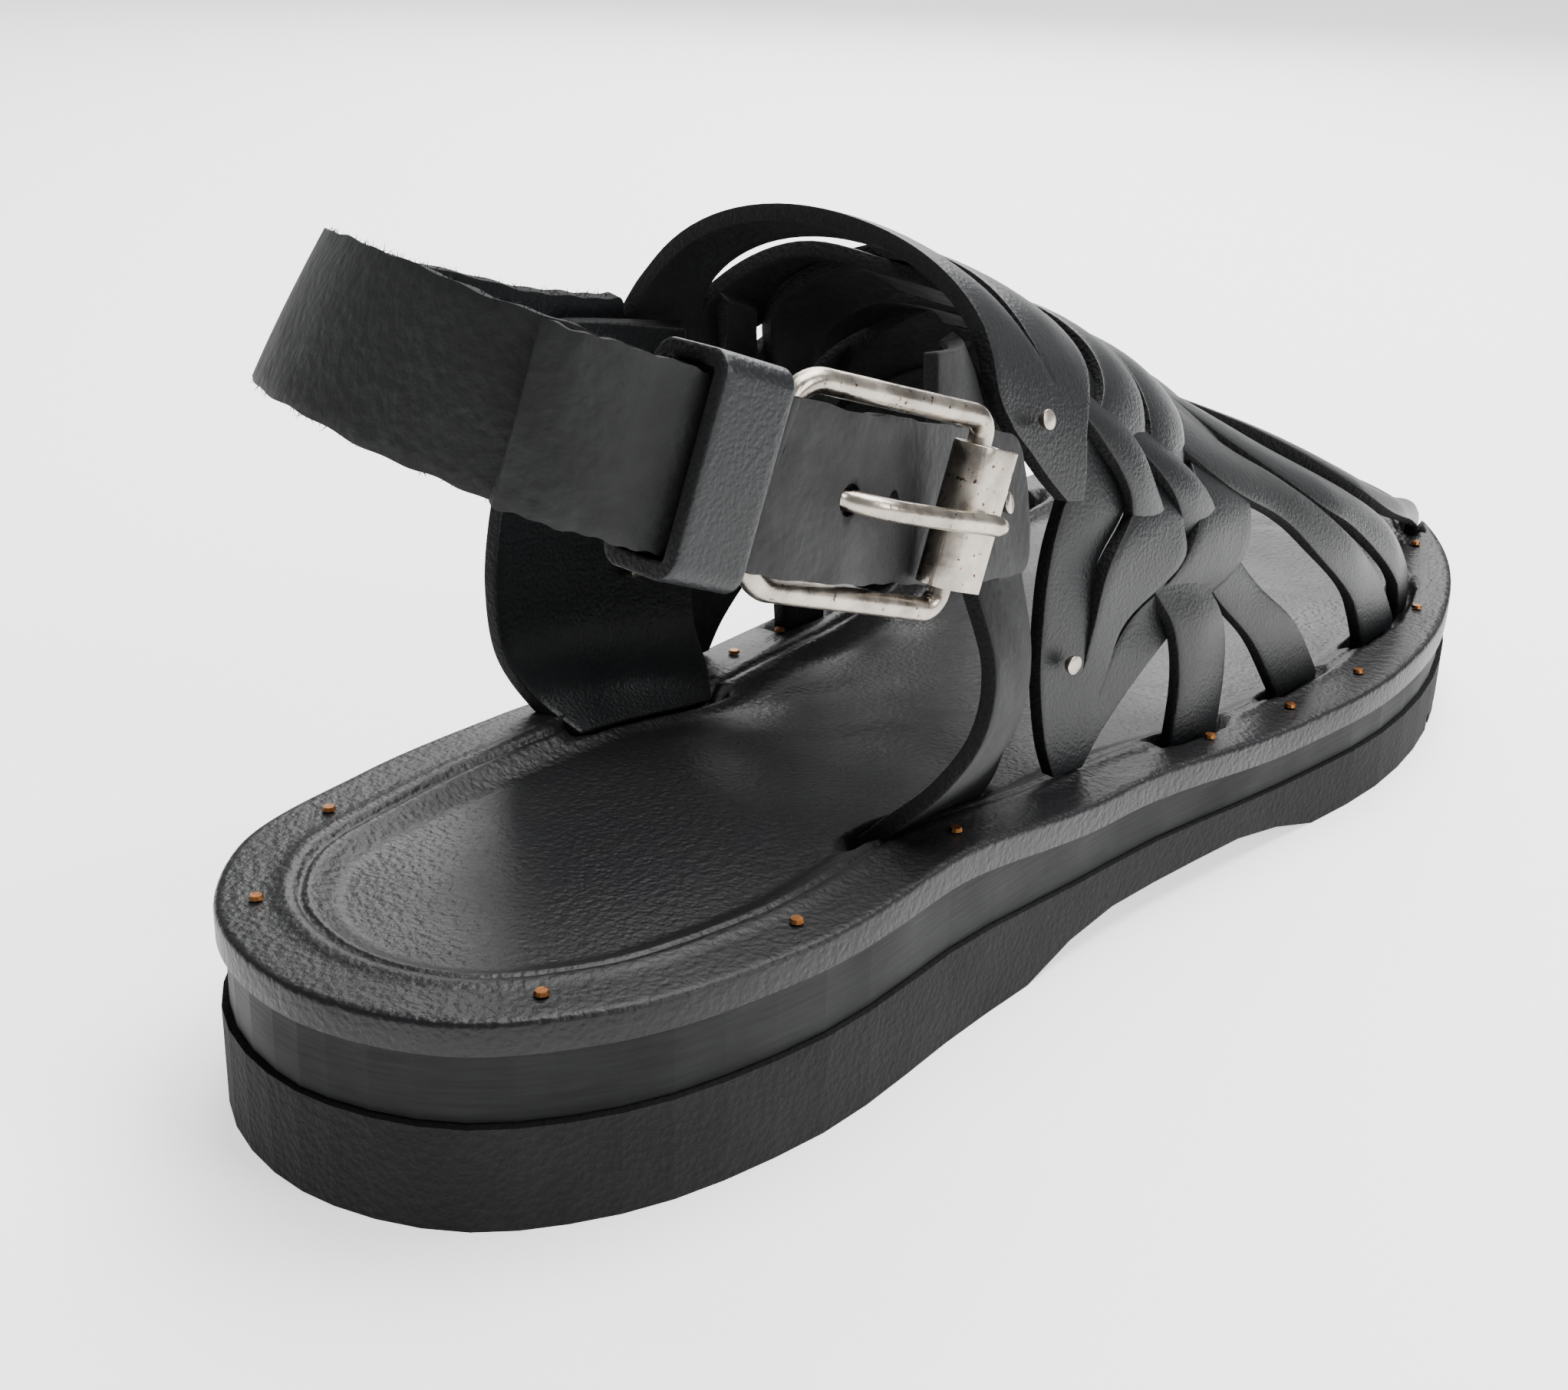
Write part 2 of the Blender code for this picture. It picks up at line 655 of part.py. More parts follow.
def slot_cutter(name, rows, thickness, collection):
    """The pocket in the footbed that takes a finger's foot, a clearance larger all round."""
    stations = finger_rows(rows, 4, 0.0)
    width = SLOT_GAP / SOLE_LENGTH
    feet = [station for station in stations[len(stations) // 2:] if abs(station[0]) > SLOT_FROM]
    wide = [[a, rear - width, front + width, layer] for a, rear, front, layer in feet]
    wide.append(wide[-1][:3] + [0.0, FOOT_DEPTH + SLOT_GAP])
    bm = bmesh.new()
    ribbon(bm, wide)
    mesh = bpy.data.meshes.new(name)
    bm.to_mesh(mesh)
    bm.free()
    pocket = cutter(name, mesh, collection)
    thicken = pocket.modifiers.new("thickness", "SOLIDIFY")
    thicken.thickness = thickness + 2 * SLOT_GAP
    thicken.offset = 0.0
    return pocket


def cut(thing, tools):
    """Cut the tools out of the thing, each with its own modifier."""
    for tool in tools:
        carve = thing.modifiers.new(tool.name, "BOOLEAN")
        carve.operation = "DIFFERENCE"
        carve.object = tool


def under(rows):
    """The far side's finger lies under its twin where the two cross on the ridge."""
    flipped = []
    for around, rear, front, layer in rows:
        flipped.append((around, rear, front, -abs(layer) if abs(around) < 0.1 else layer))
    return flipped


def solid_sheet(name, rows, thickness, collection, closed=False):
    """An open sheet through rows of points, thickened to both sides."""
    bm = bmesh.new()
    built = [[bm.verts.new(point) for point in row] for row in rows]
    pairs = list(zip(built, built[1:]))
    if closed:
        pairs.append((built[-1], built[0]))
    for a, b in pairs:
        for k in range(len(a) - 1):
            bm.faces.new((a[k], a[k + 1], b[k + 1], b[k]))
    mesh = bpy.data.meshes.new(name)
    bm.to_mesh(mesh)
    bm.free()
    sheet = place(name, mesh, collection)
    thicken = sheet.modifiers.new("thickness", "SOLIDIFY")
    thicken.thickness = thickness
    thicken.offset = 0.0
    thicken.use_even_offset = True
    return sheet


def finished(sheet, parts, finish, tools=(), angle=45.0):
    """The sheet with its modifiers and cuts applied, as a named part."""
    cut(sheet, tools)
    mesh = baked(sheet)
    name = sheet.name
    bpy.data.objects.remove(sheet)
    smooth(mesh, angle)
    return place(name, mesh, parts, finish)


def quarter_point(columns, at, across):
    """A point of a quarter: at a share of its height, and across from its rear to front edge."""
    rise, rear_x, rear_y, front_x, front_y = curve_through(columns, at)
    y = (rear_y + (front_y - rear_y) * across) * SOLE_LENGTH
    x = (rear_x + (front_x - rear_x) * across**2) * BALL_WIDTH
    return Vector((x, y, rim_height(y) + rise * UPPER_RISE)), rise * UPPER_RISE


def quarter_grid(rows, top=1.0, grow=0.0):
    """Rows of points of a quarter from its slot up to a height over the rim."""
    columns = [row[1:] for row in rows]
    steps = 2 * (len(columns) - 1)
    points = []
    for i in range(steps + 1):
        line = [quarter_point(columns, i / steps, k / 3) for k in range(4)]
        if line[0][1] <= top:
            points.append([point for point, rise in line])
    for line in points:
        line[0].y -= grow
        line[-1].y += grow
    if grow:
        points.insert(0, [low + (low - high).normalized() * 2 * grow for low, high in zip(*points[:2])])
    return points


def make_quarter(name, rows, parts, cutters):
    """A quarter strap, and the cutter of its slot in the footbed."""
    sheet = solid_sheet(name, quarter_grid(rows), QUARTER_LEATHER, cutters)
    finished(sheet, parts, "strap_leather")
    slot = solid_sheet(
        name + "_slot", quarter_grid(rows, 0.010, SLOT_GAP), QUARTER_LEATHER + 2 * SLOT_GAP, cutters
    )
    slot.hide_render = True
    slot.display_type = "WIRE"
    return slot


def in_metres(rows):
    """Rows of a strap with their shares turned into places."""
    placed = []
    for name, x, along, rise, lean in rows:
        y = along * SOLE_LENGTH
        placed.append((name, x * BALL_WIDTH, y, rim_height(y) + rise * UPPER_RISE, lean))
    return placed


def strap_frame(rows, share):
    """Middle point, running, width and outward directions of a strap at a share of its run."""
    columns = [row[1:] for row in rows]
    here = curve_through(columns, share)
    step = 0.004
    ahead = Vector(curve_through(columns, min(share + step, 1.0))[:3])
    behind = Vector(curve_through(columns, max(share - step, 0.0))[:3])
    run = (ahead - behind).normalized()
    out = run.cross(Vector((0, 0, 1))).normalized()
    lean = math.radians(here[3])
    width = Vector((0, 0, math.cos(lean))) + out * math.sin(lean)
    width = (width - run * width.dot(run)).normalized()
    return Vector(here[:3]), run, width, run.cross(width).normalized()


def billet_rows():
    """The billet's own path: on the heel strap, then over the hinge bar and down to its tab."""
    rows = []
    heel = in_metres(HEEL_STRAP)
    for i in range(8):
        share = BILLET_START + (1.0 - BILLET_START) * i / 7
        point, run, width, out = strap_frame(heel, share)
        lean = table_lean(heel, share)
        seat = point + out * (STRAP_LEATHER + 2 * GAP)
        rows.append(("on strap", seat.x, seat.y, seat.z, lean))
    return rows + in_metres(BILLET)


def table_lean(rows, share):
    return curve_through([row[1:] for row in rows], share)[3]


def strap_points(rows, count, round_start=0.0, round_end=0.0):
    """Rows of points of a strap, with its corners rounded at either end."""
    length = 0.0
    marks = [strap_frame(rows, i / 200)[0] for i in range(201)]
    for a, b in zip(marks, marks[1:]):
        length += (b - a).length
    shares = [i / count for i in range(count + 1)]
    for radius, start in ((round_start, 0.0), (round_end, 1.0)):
        if radius:
            for part in (0.1, 0.4, 1.0):
                shares.append(abs(start - part * radius / length))
    points = []
    for share in sorted(set(round(value, 5) for value in shares)):
        point, run, width, out = strap_frame(rows, share)
        half = STRAP_WIDTH / 2
        for radius, gone in ((round_start, share * length), (round_end, (1 - share) * length)):
            if radius and gone < radius:
                half = STRAP_WIDTH / 2 - radius + math.sqrt(radius**2 - (radius - gone) ** 2)
        points.append([point - width * half, point, point + width * half])
    return points


def tube(name, points, radius, collection, closed=False, sides=2):
    """A round wire along points, as a mesh."""
    curve = bpy.data.curves.new(name, "CURVE")
    curve.dimensions = "3D"
    curve.bevel_depth = radius
    curve.bevel_resolution = sides
    curve.use_fill_caps = not closed
    spline = curve.splines.new("POLY")
    spline.points.add(len(points) - 1)
    for spot, point in zip(spline.points, points):
        spot.co = (*point, 1.0)
    spline.use_cyclic_u = closed
    guide = bpy.data.objects.new(name, curve)
    collection.objects.link(guide)
    bpy.context.view_layer.update()
    mesh = baked(guide)
    bpy.data.objects.remove(guide)
    bm = bmesh.new()
    bm.from_mesh(mesh)
    bmesh.ops.remove_doubles(bm, verts=bm.verts, dist=0.00001)
    bmesh.ops.recalc_face_normals(bm, faces=bm.faces)
    bm.to_mesh(mesh)
    bm.free()
    smooth(mesh, 50)
    return mesh


def smooth_path(points, per_span=4):
    rows = [tuple(point) for point in points]
    count = (len(rows) - 1) * per_span
    return [Vector(curve_through(rows, i / count)) for i in range(count + 1)]


def buckle_axes():
    """Middle of the hinge bar and of the front bar, and the buckle's own three directions."""
    hinge, front = [Vector(row[1:4]) for row in in_metres(BUCKLE)]
    run = (front - hinge).normalized()
    up = Vector((0, 0, 1))
    width = (up - run * up.dot(run)).normalized()
    return hinge, front, run, width, run.cross(width).normalized()


def make_frame(parts, cutters):
    """The wire frame: a rounded rectangle between the hinge bar and the front bar."""
    hinge, front, run, width, out = buckle_axes()
    half = (BUCKLE_SLOT + BUCKLE_WIRE) / 2
    length = (front - hinge).length
    corners = ((0.0, -1), (length, -1), (length, 1), (0.0, 1))
    points = []
    for i, (along, side) in enumerate(corners):
        radius = FRONT_CORNER if along else HINGE_CORNER
        inward = -radius if along else radius
        centre = hinge + run * (along + inward) + width * side * (half - radius)
        for k in range(5):
            angle = math.radians(180 + 90 * i + 22.5 * k)
            points.append(centre + (run * math.cos(angle) + width * math.sin(angle)) * radius)
    mesh = tube("buckle_frame", points, BUCKLE_WIRE / 2, cutters, closed=True, sides=2)
    place("buckle_frame", mesh, parts, "nickel")


def make_roller(parts, cutters):
    """The roller: a sheet folded round the front bar, with its flat end standing off it."""
    hinge, front, run, width, out = buckle_axes()
    half = ROLLER_LENGTH / 2
    middle = ROLLER_RADIUS - ROLLER_SHEET / 2
    line = []
    for k in range(13):
        angle = math.radians(20 - 290 * k / 12)
        line.append(front + (run * math.cos(angle) + out * math.sin(angle)) * middle)
    line.append(front + out * middle + run * ROLLER_PLATE * 0.5)
    line.append(front + out * middle + run * ROLLER_PLATE)
    rows = [[point - width * half, point + width * half] for point in line]
    sheet = solid_sheet("buckle_roller", rows, ROLLER_SHEET, cutters)
    finished(sheet, parts, "nickel", angle=30.0)


def prong_path():
    """The prong: hooked on the hinge bar, through the billet's hole, onto the roller."""
    hinge, front, run, width, out = buckle_axes()
    reach = (BUCKLE_WIRE + PRONG_WIRE) / 2 + GAP
    hole = Vector(in_metres(BILLET)[0][1:4])
    rest = front + out * (ROLLER_RADIUS + PRONG_WIRE / 2 + GAP)
    return smooth_path([
        hinge + run * (reach + 0.0002) - out * 0.0004,
        hinge + run * (reach + 0.0022) + out * 0.0012,
        hole + run * 0.0002,
        hole + run * 0.0040 + out * 0.0030,
        (hole + rest) / 2 + run * 0.0010 + out * 0.0024,
        rest,
        rest + run * 0.0030 - out * 0.0001,
    ])


def rivet_mesh(radius, height, steps=16):
    """A domed cap: a turned profile standing on its flat underside."""
    profile = [(0.0, height)]
    for k in range(1, 5):
        angle = math.radians(18 * k)
        profile.append((radius * math.sin(angle), height * (0.25 + 0.75 * math.cos(angle))))
    profile.append((radius, 0.0))
    profile.append((0.0, 0.0))
    bm = bmesh.new()
    verts = [bm.verts.new((x, 0.0, z)) for x, z in profile]
    edges = [bm.edges.new(pair) for pair in zip(verts, verts[1:])]
    bmesh.ops.spin(
        bm, geom=verts + edges, cent=(0, 0, 0), axis=(0, 0, 1),
        angle=2 * math.pi, steps=steps, use_merge=True,
    )
    bmesh.ops.remove_doubles(bm, verts=bm.verts, dist=0.00001)
    bmesh.ops.recalc_face_normals(bm, faces=bm.faces)
    mesh = bpy.data.meshes.new("rivet")
    bm.to_mesh(mesh)
    bm.free()
    smooth(mesh, 50)
    return mesh


def seat_on(name, mesh, point, normal, parts, finish="nickel"):
    thing = place(name, mesh, parts, finish)
    thing.location = point
    thing.rotation_mode = "QUATERNION"
    thing.rotation_quaternion = normal.normalized().to_track_quat("Z", "Y")
    return thing


def on_weave(around, along, layer):
    """A rivet's seat on the outer face of the weave, and its direction."""
    y = along * SOLE_LENGTH
    low = last_point(around, y, 0.0)
    lift = layer * (UPPER_LEATHER - WEAVE_BITE) / 2 + UPPER_LEATHER / 2 + RIVET_SEAT
    high = last_point(around, y, lift)
    return high, high - low


def make_rivets(parts):
    cap = rivet_mesh(RIVET_RADIUS, RIVET_HEIGHT)
    for side, word in ((1, "lateral"), (-1, "medial")):
        for name, around, along, layer in WEAVE_RIVETS:
            seat_on(name + word, cap.copy(), *on_weave(side * around, along, layer), parts)
    rows = billet_rows()
    share = (len(rows) - 2) / (len(rows) - 1)
    point, run, width, out = strap_frame(rows, share)
    seat_on("rivet_tab", cap.copy(), point + out * (STRAP_LEATHER / 2 + GAP), out, parts)
    point, run, width, out = strap_frame(in_metres(HEEL_STRAP), 1 / (len(HEEL_STRAP) - 1))
    seat_on("rivet_heel_strap", cap.copy(), point + out * (STRAP_LEATHER / 2 + GAP), out, parts)
    inner = rivet_mesh(RIVET_RADIUS * 0.8, RIVET_HEIGHT)
    columns = [row[1:] for row in MEDIAL_QUARTER]
    for name, at in (("rivet_inside_low", INSIDE_LOW), ("rivet_inside_high", INSIDE_HIGH)):
        here, rise = quarter_point(columns, at, INSIDE_RIVET)
        upward = quarter_point(columns, at + 0.02, INSIDE_RIVET)[0] - here
        forward = quarter_point(columns, at, INSIDE_RIVET + 0.02)[0] - here
        normal = forward.cross(upward).normalized()
        seat_on(name, inner.copy(), here + normal * (QUARTER_LEATHER / 2 + RIVET_SEAT), normal, parts)


def make_tacks(parts):
    for number, (along, side) in enumerate(TACKS, 1):
        y = along * SOLE_LENGTH
        edge = side_reach(y, side)
        x = edge
        while edge_distance(x, y) < RIM_WIDTH * 0.5:
            x -= side * 0.0003
        mesh = bpy.data.meshes.new("tack")
        bm = bmesh.new()
        bmesh.ops.create_cone(
            bm, cap_ends=True, segments=10, radius1=TACK_RADIUS, radius2=TACK_RADIUS * 0.8,
            depth=TACK_HEIGHT,
        )
        bm.to_mesh(mesh)
        bm.free()
        spot = (x, y, footbed_height(x, y) + GAP + TACK_HEIGHT / 2)
        place("tack_%02d" % number, mesh, parts, "brass").location = spot


def make_straps(parts, cutters):
    """Heel strap, billet through the buckle, keeper and the buckle itself."""
    points = strap_points(in_metres(HEEL_STRAP), 44, TAB_CORNER)
    heel = solid_sheet("heel_strap", points, STRAP_LEATHER, cutters)
    finished(heel, parts, "strap_leather")
    rows = billet_rows()
    billet = solid_sheet("billet_strap", strap_points(rows, 39, 0.0, TAB_CORNER), STRAP_LEATHER, cutters)
    path = prong_path()
    prong_hole = cutter(
        "prong_hole", tube("prong_hole", path[:18], PRONG_WIRE / 2 + SLOT_GAP, cutters), cutters
    )
    share = (len(rows) - len(BILLET) + 1) / (len(rows) - 1)
    point, run, width, out = strap_frame(rows, share)
    spare = [point - out * 0.004, point + out * 0.004]
    spare_hole = cutter("spare_hole", tube("spare_hole", spare, HOLE_RADIUS, cutters), cutters)
    finished(billet, parts, "strap_leather", (prong_hole, spare_hole))
    place("buckle_prong", tube("buckle_prong", path, PRONG_WIRE / 2, cutters), parts, "nickel")
    make_frame(parts, cutters)
    make_roller(parts, cutters)
    make_keeper(parts, cutters)


def make_keeper(parts, cutters):
    """The keeper: a leather loop round the heel strap and the billet on it."""
    point, run, width, out = strap_frame(in_metres(HEEL_STRAP), KEEPER_PLACE)
    skin = 2 * GAP + KEEPER_LEATHER / 2
    low = -STRAP_LEATHER / 2 - 2 * GAP - skin
    high = STRAP_LEATHER * 1.5 + 3 * GAP + skin
    half = STRAP_WIDTH / 2 + skin
    rows = []
    for i, (u, v) in enumerate(((high, half), (low, half), (low, -half), (high, -half))):
        flat = u - math.copysign(KEEPER_CORNER, u)
        centre = point + out * flat + width * (v - math.copysign(KEEPER_CORNER, v))
        for k in range(4):
            angle = math.radians(90 * i + 30 * k)
            spot = centre + (out * math.cos(angle) + width * math.sin(angle)) * KEEPER_CORNER
            rows.append([spot - run * KEEPER_WIDTH / 2, spot + run * KEEPER_WIDTH / 2])
    loop = solid_sheet("keeper_loop", rows, KEEPER_LEATHER, cutters, closed=True)
    finished(loop, parts, "strap_leather")


def main():
    for thing in list(bpy.data.objects):
        bpy.data.objects.remove(thing)
    parts = new_collection("woven_leather_sandal")
    cutters = new_collection("cutters")
    fine = [0.0, 0.05, 0.10, 0.15, 0.21, 0.32, 0.5, 0.68, 0.79, 0.85, 0.90, 0.95, 1.0]
    coarse = [0.0, 0.2, 0.5, 0.8, 1.0]
    outsole = sole_layer(
        "outsole", lambda x, y: split_height(y), ground_height, 0.0, coarse, 40, parts, "outsole_rubber"
    )
    cut(outsole, lug_grooves(cutters))
    sole_layer(
        "midsole",
        lambda x, y: rim_height(y) - INSOLE_THICKNESS - GAP,
        lambda y: split_height(y) + GAP,
        MIDSOLE_STEP, coarse, 40, parts, "midsole_rubber",
    )
    insole = sole_layer(
        "insole",
        footbed_height,
        lambda y: rim_height(y) - INSOLE_THICKNESS,
        0.0, fine, 40, parts, "insole_leather",
    )
    make_upper(parts, cutters)
    feet = [("palm_finger", PALM_FINGER), ("wing_top", WING_TOP), ("wing_middle", WING_MIDDLE),
            ("wing_lower", WING_LOWER), ("tongue", PALM_TONGUE)]
    pockets = []
    for name, rows in feet:
        pockets.append(slot_cutter(name + "_slot", rows, UPPER_LEATHER, cutters))
        pockets.append(slot_cutter(name + "_far_slot", mirrored(rows), UPPER_LEATHER, cutters))
    pockets.append(make_quarter("quarter_lateral", LATERAL_QUARTER, parts, cutters))
    pockets.append(make_quarter("quarter_medial", MEDIAL_QUARTER, parts, cutters))
    cut(insole, pockets)
    make_straps(parts, cutters)
    make_rivets(parts)
    make_tacks(parts)
    across = [point.x for point in RING]
    middle = Vector(((min(across) + max(across)) / 2, SOLE_LENGTH / 2, 0.0))
    for thing in list(parts.objects) + list(cutters.objects):
        thing.location -= middle


main()
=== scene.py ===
import math
import random

import bmesh
import bpy
import numpy as np
from mathutils import Matrix, Vector


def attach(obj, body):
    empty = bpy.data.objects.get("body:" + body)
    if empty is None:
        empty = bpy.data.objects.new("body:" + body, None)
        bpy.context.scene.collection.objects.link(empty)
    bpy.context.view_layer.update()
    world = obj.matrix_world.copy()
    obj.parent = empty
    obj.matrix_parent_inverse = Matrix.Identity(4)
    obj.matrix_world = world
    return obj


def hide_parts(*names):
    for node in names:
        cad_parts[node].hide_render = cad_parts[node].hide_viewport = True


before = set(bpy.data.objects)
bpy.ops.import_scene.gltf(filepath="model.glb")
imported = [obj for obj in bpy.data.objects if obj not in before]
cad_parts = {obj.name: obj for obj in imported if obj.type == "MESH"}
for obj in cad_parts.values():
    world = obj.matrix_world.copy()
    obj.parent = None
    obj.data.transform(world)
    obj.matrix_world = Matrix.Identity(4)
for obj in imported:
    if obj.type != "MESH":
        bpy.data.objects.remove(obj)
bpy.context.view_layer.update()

# Studio: a white light table under soft boxes, as a shop photographs a shoe. The camera stands a
# foot away, low behind the heel on the outer side, so the heel looks far larger than the toe.
CAMERA_AZIMUTH = math.radians(36.35)
CAMERA_ELEVATION = math.radians(22.77)
CAMERA_ROLL = math.radians(1.80)
CAMERA_PLACE = Vector((0.17645, -0.2876, 0.1601))
CAMERA_LENS = 49.357


def colour(code):
    """An sRGB hex code as linear red, green, blue and alpha."""
    parts = [int(code[i:i + 2], 16) / 255 for i in (1, 3, 5)]
    return (*[p / 12.92 if p <= 0.04045 else ((p + 0.055) / 1.055) ** 2.4 for p in parts], 1.0)


def add(tree, kind, links=(), **settings):
    """A node with its settings, and its sockets linked or set."""
    made = tree.nodes.new(kind)
    for name, value in settings.items():
        setattr(made, name, value)
    for socket, source in links:
        if isinstance(source, bpy.types.NodeSocket):
            tree.links.new(source, made.inputs[socket])
        else:
            made.inputs[socket].default_value = source
    return made


def new_material(name):
    made = bpy.data.materials.new(name)
    made.use_nodes = True
    tree = made.node_tree
    return made, tree, tree.nodes["Principled BSDF"]


def show(name, mesh, *materials):
    """A mesh as a shown piece with its materials."""
    piece = bpy.data.objects.new(name, mesh)
    bpy.context.scene.collection.objects.link(piece)
    for finish in materials:
        mesh.materials.append(finish)
    return piece


# Light table: opal acrylic, sanded matt and lit from below, so it glows evenly and shows a soft shadow
TABLE_REACH = 25.0
corners = [(x * TABLE_REACH, y * TABLE_REACH, 0) for x, y in ((-1, -1), (1, -1), (1, 1), (-1, 1))]
sweep_mesh = bpy.data.meshes.new("sweep")
sweep_mesh.from_pydata(corners, [], [(0, 1, 2, 3)])
light_table, _, shader = new_material("backlit_opal_acrylic")
shader.inputs["Base Color"].default_value = colour("#F4F4F4")
shader.inputs["Roughness"].default_value = 0.85
shader.inputs["Emission Color"].default_value = colour("#FFFFFF")
shader.inputs["Emission Strength"].default_value = 1.15
sweep = show("sweep", sweep_mesh, light_table)

world = bpy.data.worlds.new("studio")
bpy.context.scene.world = world
world.use_nodes = True
world.node_tree.nodes["Background"].inputs["Color"].default_value = colour("#F4F6F8")
world.node_tree.nodes["Background"].inputs["Strength"].default_value = 0.40

for name, place, size, power, aim in (
    ("overhead_softbox", (0.10, 0.35, 1.10), 0.9, 30.0, (0.0, 0.0, 0.04)),
    ("side_softbox", (1.10, 0.10, 0.60), 0.5, 9.0, (0.0, 0.0, 0.05)),
    ("back_softbox", (-0.60, 0.90, 0.70), 0.8, 14.0, (0.0, 0.0, 0.05)),
):
    lamp = bpy.data.lights.new(name, "AREA")
    lamp.size = size
    lamp.energy = power
    softbox = bpy.data.objects.new(name, lamp)
    softbox.location = place
    softbox.rotation_euler = (Vector(aim) - Vector(place)).to_track_quat("-Z", "Y").to_euler()
    bpy.context.scene.collection.objects.link(softbox)

back = Vector((
    math.sin(CAMERA_AZIMUTH) * math.cos(CAMERA_ELEVATION),
    -math.cos(CAMERA_AZIMUTH) * math.cos(CAMERA_ELEVATION),
    math.sin(CAMERA_ELEVATION),
))
level = Vector((math.cos(CAMERA_AZIMUTH), math.sin(CAMERA_AZIMUTH), 0.0))
upward = back.cross(level)
right = level * math.cos(CAMERA_ROLL) + upward * math.sin(CAMERA_ROLL)
top = upward * math.cos(CAMERA_ROLL) - level * math.sin(CAMERA_ROLL)
camera = bpy.data.objects.new("camera", bpy.data.cameras.new("camera"))
camera.data.sensor_width = 36.0
camera.data.lens = CAMERA_LENS
camera.data.clip_start = 0.01
turned = Matrix((right, top, back)).transposed().to_4x4()
camera.matrix_world = Matrix.Translation(CAMERA_PLACE) @ turned
bpy.context.scene.collection.objects.link(camera)
bpy.context.scene.camera = camera

# Outsole: a slab of recycled crumb rubber, pressed and cut with a blade. Its side is matt and
# pitted, and grains stand out of the cut, so it drinks the light.
CRUMB_MM = 1.1


def crumb_rubber():
    """Crumb rubber pressed in a mould and cut with a blade: matt black, gritty, with open pits."""
    made, tree, shader = new_material("pressed_crumb_rubber")
    place = add(tree, "ShaderNodeTexCoord").outputs["Object"]
    grains = add(tree, "ShaderNodeTexVoronoi", [("Vector", place), ("Scale", 1000 / CRUMB_MM)])
    grit = add(tree, "ShaderNodeTexNoise", [
        ("Vector", place), ("Scale", 2400 / CRUMB_MM), ("Detail", 3.0),
    ])
    dust = add(tree, "ShaderNodeTexNoise", [("Vector", place), ("Scale", 60.0), ("Detail", 4.0)])
    pits = add(tree, "ShaderNodeMath", [
        (0, grains.outputs["Distance"]), (1, grit.outputs["Fac"]),
    ], operation="ADD")
    relief = add(tree, "ShaderNodeBump", [
        ("Height", pits.outputs[0]), ("Strength", 0.55), ("Distance", 0.0004),
    ])
    tint = add(tree, "ShaderNodeValToRGB", [("Fac", dust.outputs["Fac"])])
    tint.color_ramp.elements[0].position = 0.35
    tint.color_ramp.elements[0].color = colour("#0A0A0B")
    tint.color_ramp.elements[1].position = 0.75
    tint.color_ramp.elements[1].color = colour("#161617")
    tree.links.new(tint.outputs["Color"], shader.inputs["Base Color"])
    tree.links.new(relief.outputs["Normal"], shader.inputs["Normal"])
    shader.inputs["Roughness"].default_value = 0.88
    shader.inputs["Specular IOR Level"].default_value = 0.30
    return made


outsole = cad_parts["outsole"]
outsole.data.materials.clear()
outsole.data.materials.append(crumb_rubber())

# Midsole: a denser black rubber layer glued between tread and leather. It was ground round the
# last on a wheel, so faint lines run along its side and it shines a little.


def ground_rubber():
    """Dense rubber ground on a wheel: charcoal, with faint lines and a patchy half gloss."""
    made, tree, shader = new_material("wheel_ground_rubber")
    place = add(tree, "ShaderNodeTexCoord").outputs["Object"]
    stretched = add(tree, "ShaderNodeMapping", [("Vector", place), ("Scale", (90.0, 90.0, 1500.0))])
    lines = add(tree, "ShaderNodeTexNoise", [
        ("Vector", stretched.outputs["Vector"]), ("Scale", 1.0), ("Detail", 5.0),
    ])
    patches = add(tree, "ShaderNodeTexNoise", [("Vector", place), ("Scale", 45.0), ("Detail", 4.0)])
    relief = add(tree, "ShaderNodeBump", [
        ("Height", lines.outputs["Fac"]), ("Strength", 0.28), ("Distance", 0.0003),
    ])
    gloss = add(tree, "ShaderNodeMapRange", [
        ("Value", patches.outputs["Fac"]), ("From Min", 0.35), ("From Max", 0.7),
        ("To Min", 0.55), ("To Max", 0.75),
    ])
    tint = add(tree, "ShaderNodeValToRGB", [("Fac", lines.outputs["Fac"])])
    tint.color_ramp.elements[0].position = 0.3
    tint.color_ramp.elements[0].color = colour("#0C0C0D")
    tint.color_ramp.elements[1].position = 0.8
    tint.color_ramp.elements[1].color = colour("#18191A")
    tree.links.new(tint.outputs["Color"], shader.inputs["Base Color"])
    tree.links.new(gloss.outputs["Result"], shader.inputs["Roughness"])
    shader.inputs["Specular IOR Level"].default_value = 0.20
    tree.links.new(relief.outputs["Normal"], shader.inputs["Normal"])
    return made


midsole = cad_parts["midsole"]
midsole.data.materials.clear()
midsole.data.materials.append(ground_rubber())

# Footbed: one piece of thick vegetable-tanned leather, dyed black, wetted and pressed on the last,
# so a flat rim is left round a shallow bed, with a crease between them and soft folds in the arch.
SOLE_LENGTH = 0.290
BALL_WIDTH = 0.112
HEEL_HEIGHT = 0.0290
WAIST_HEIGHT = 0.0240
BALL_HEIGHT = 0.0205
TOE_HEIGHT = 0.0290
TOE_SPRING = 0.0060
INSOLE_THICKNESS = 0.0045
RIM_WIDTH = 0.0105
BED_DEPTH = 0.0022
BED_SLOPE = 0.0060
EDGE_ROUND = 0.0008
SLOT_DEPTH = 0.0032
RINGS = 84
MIDDLE = Vector((-0.00045, SOLE_LENGTH / 2, 0.0))

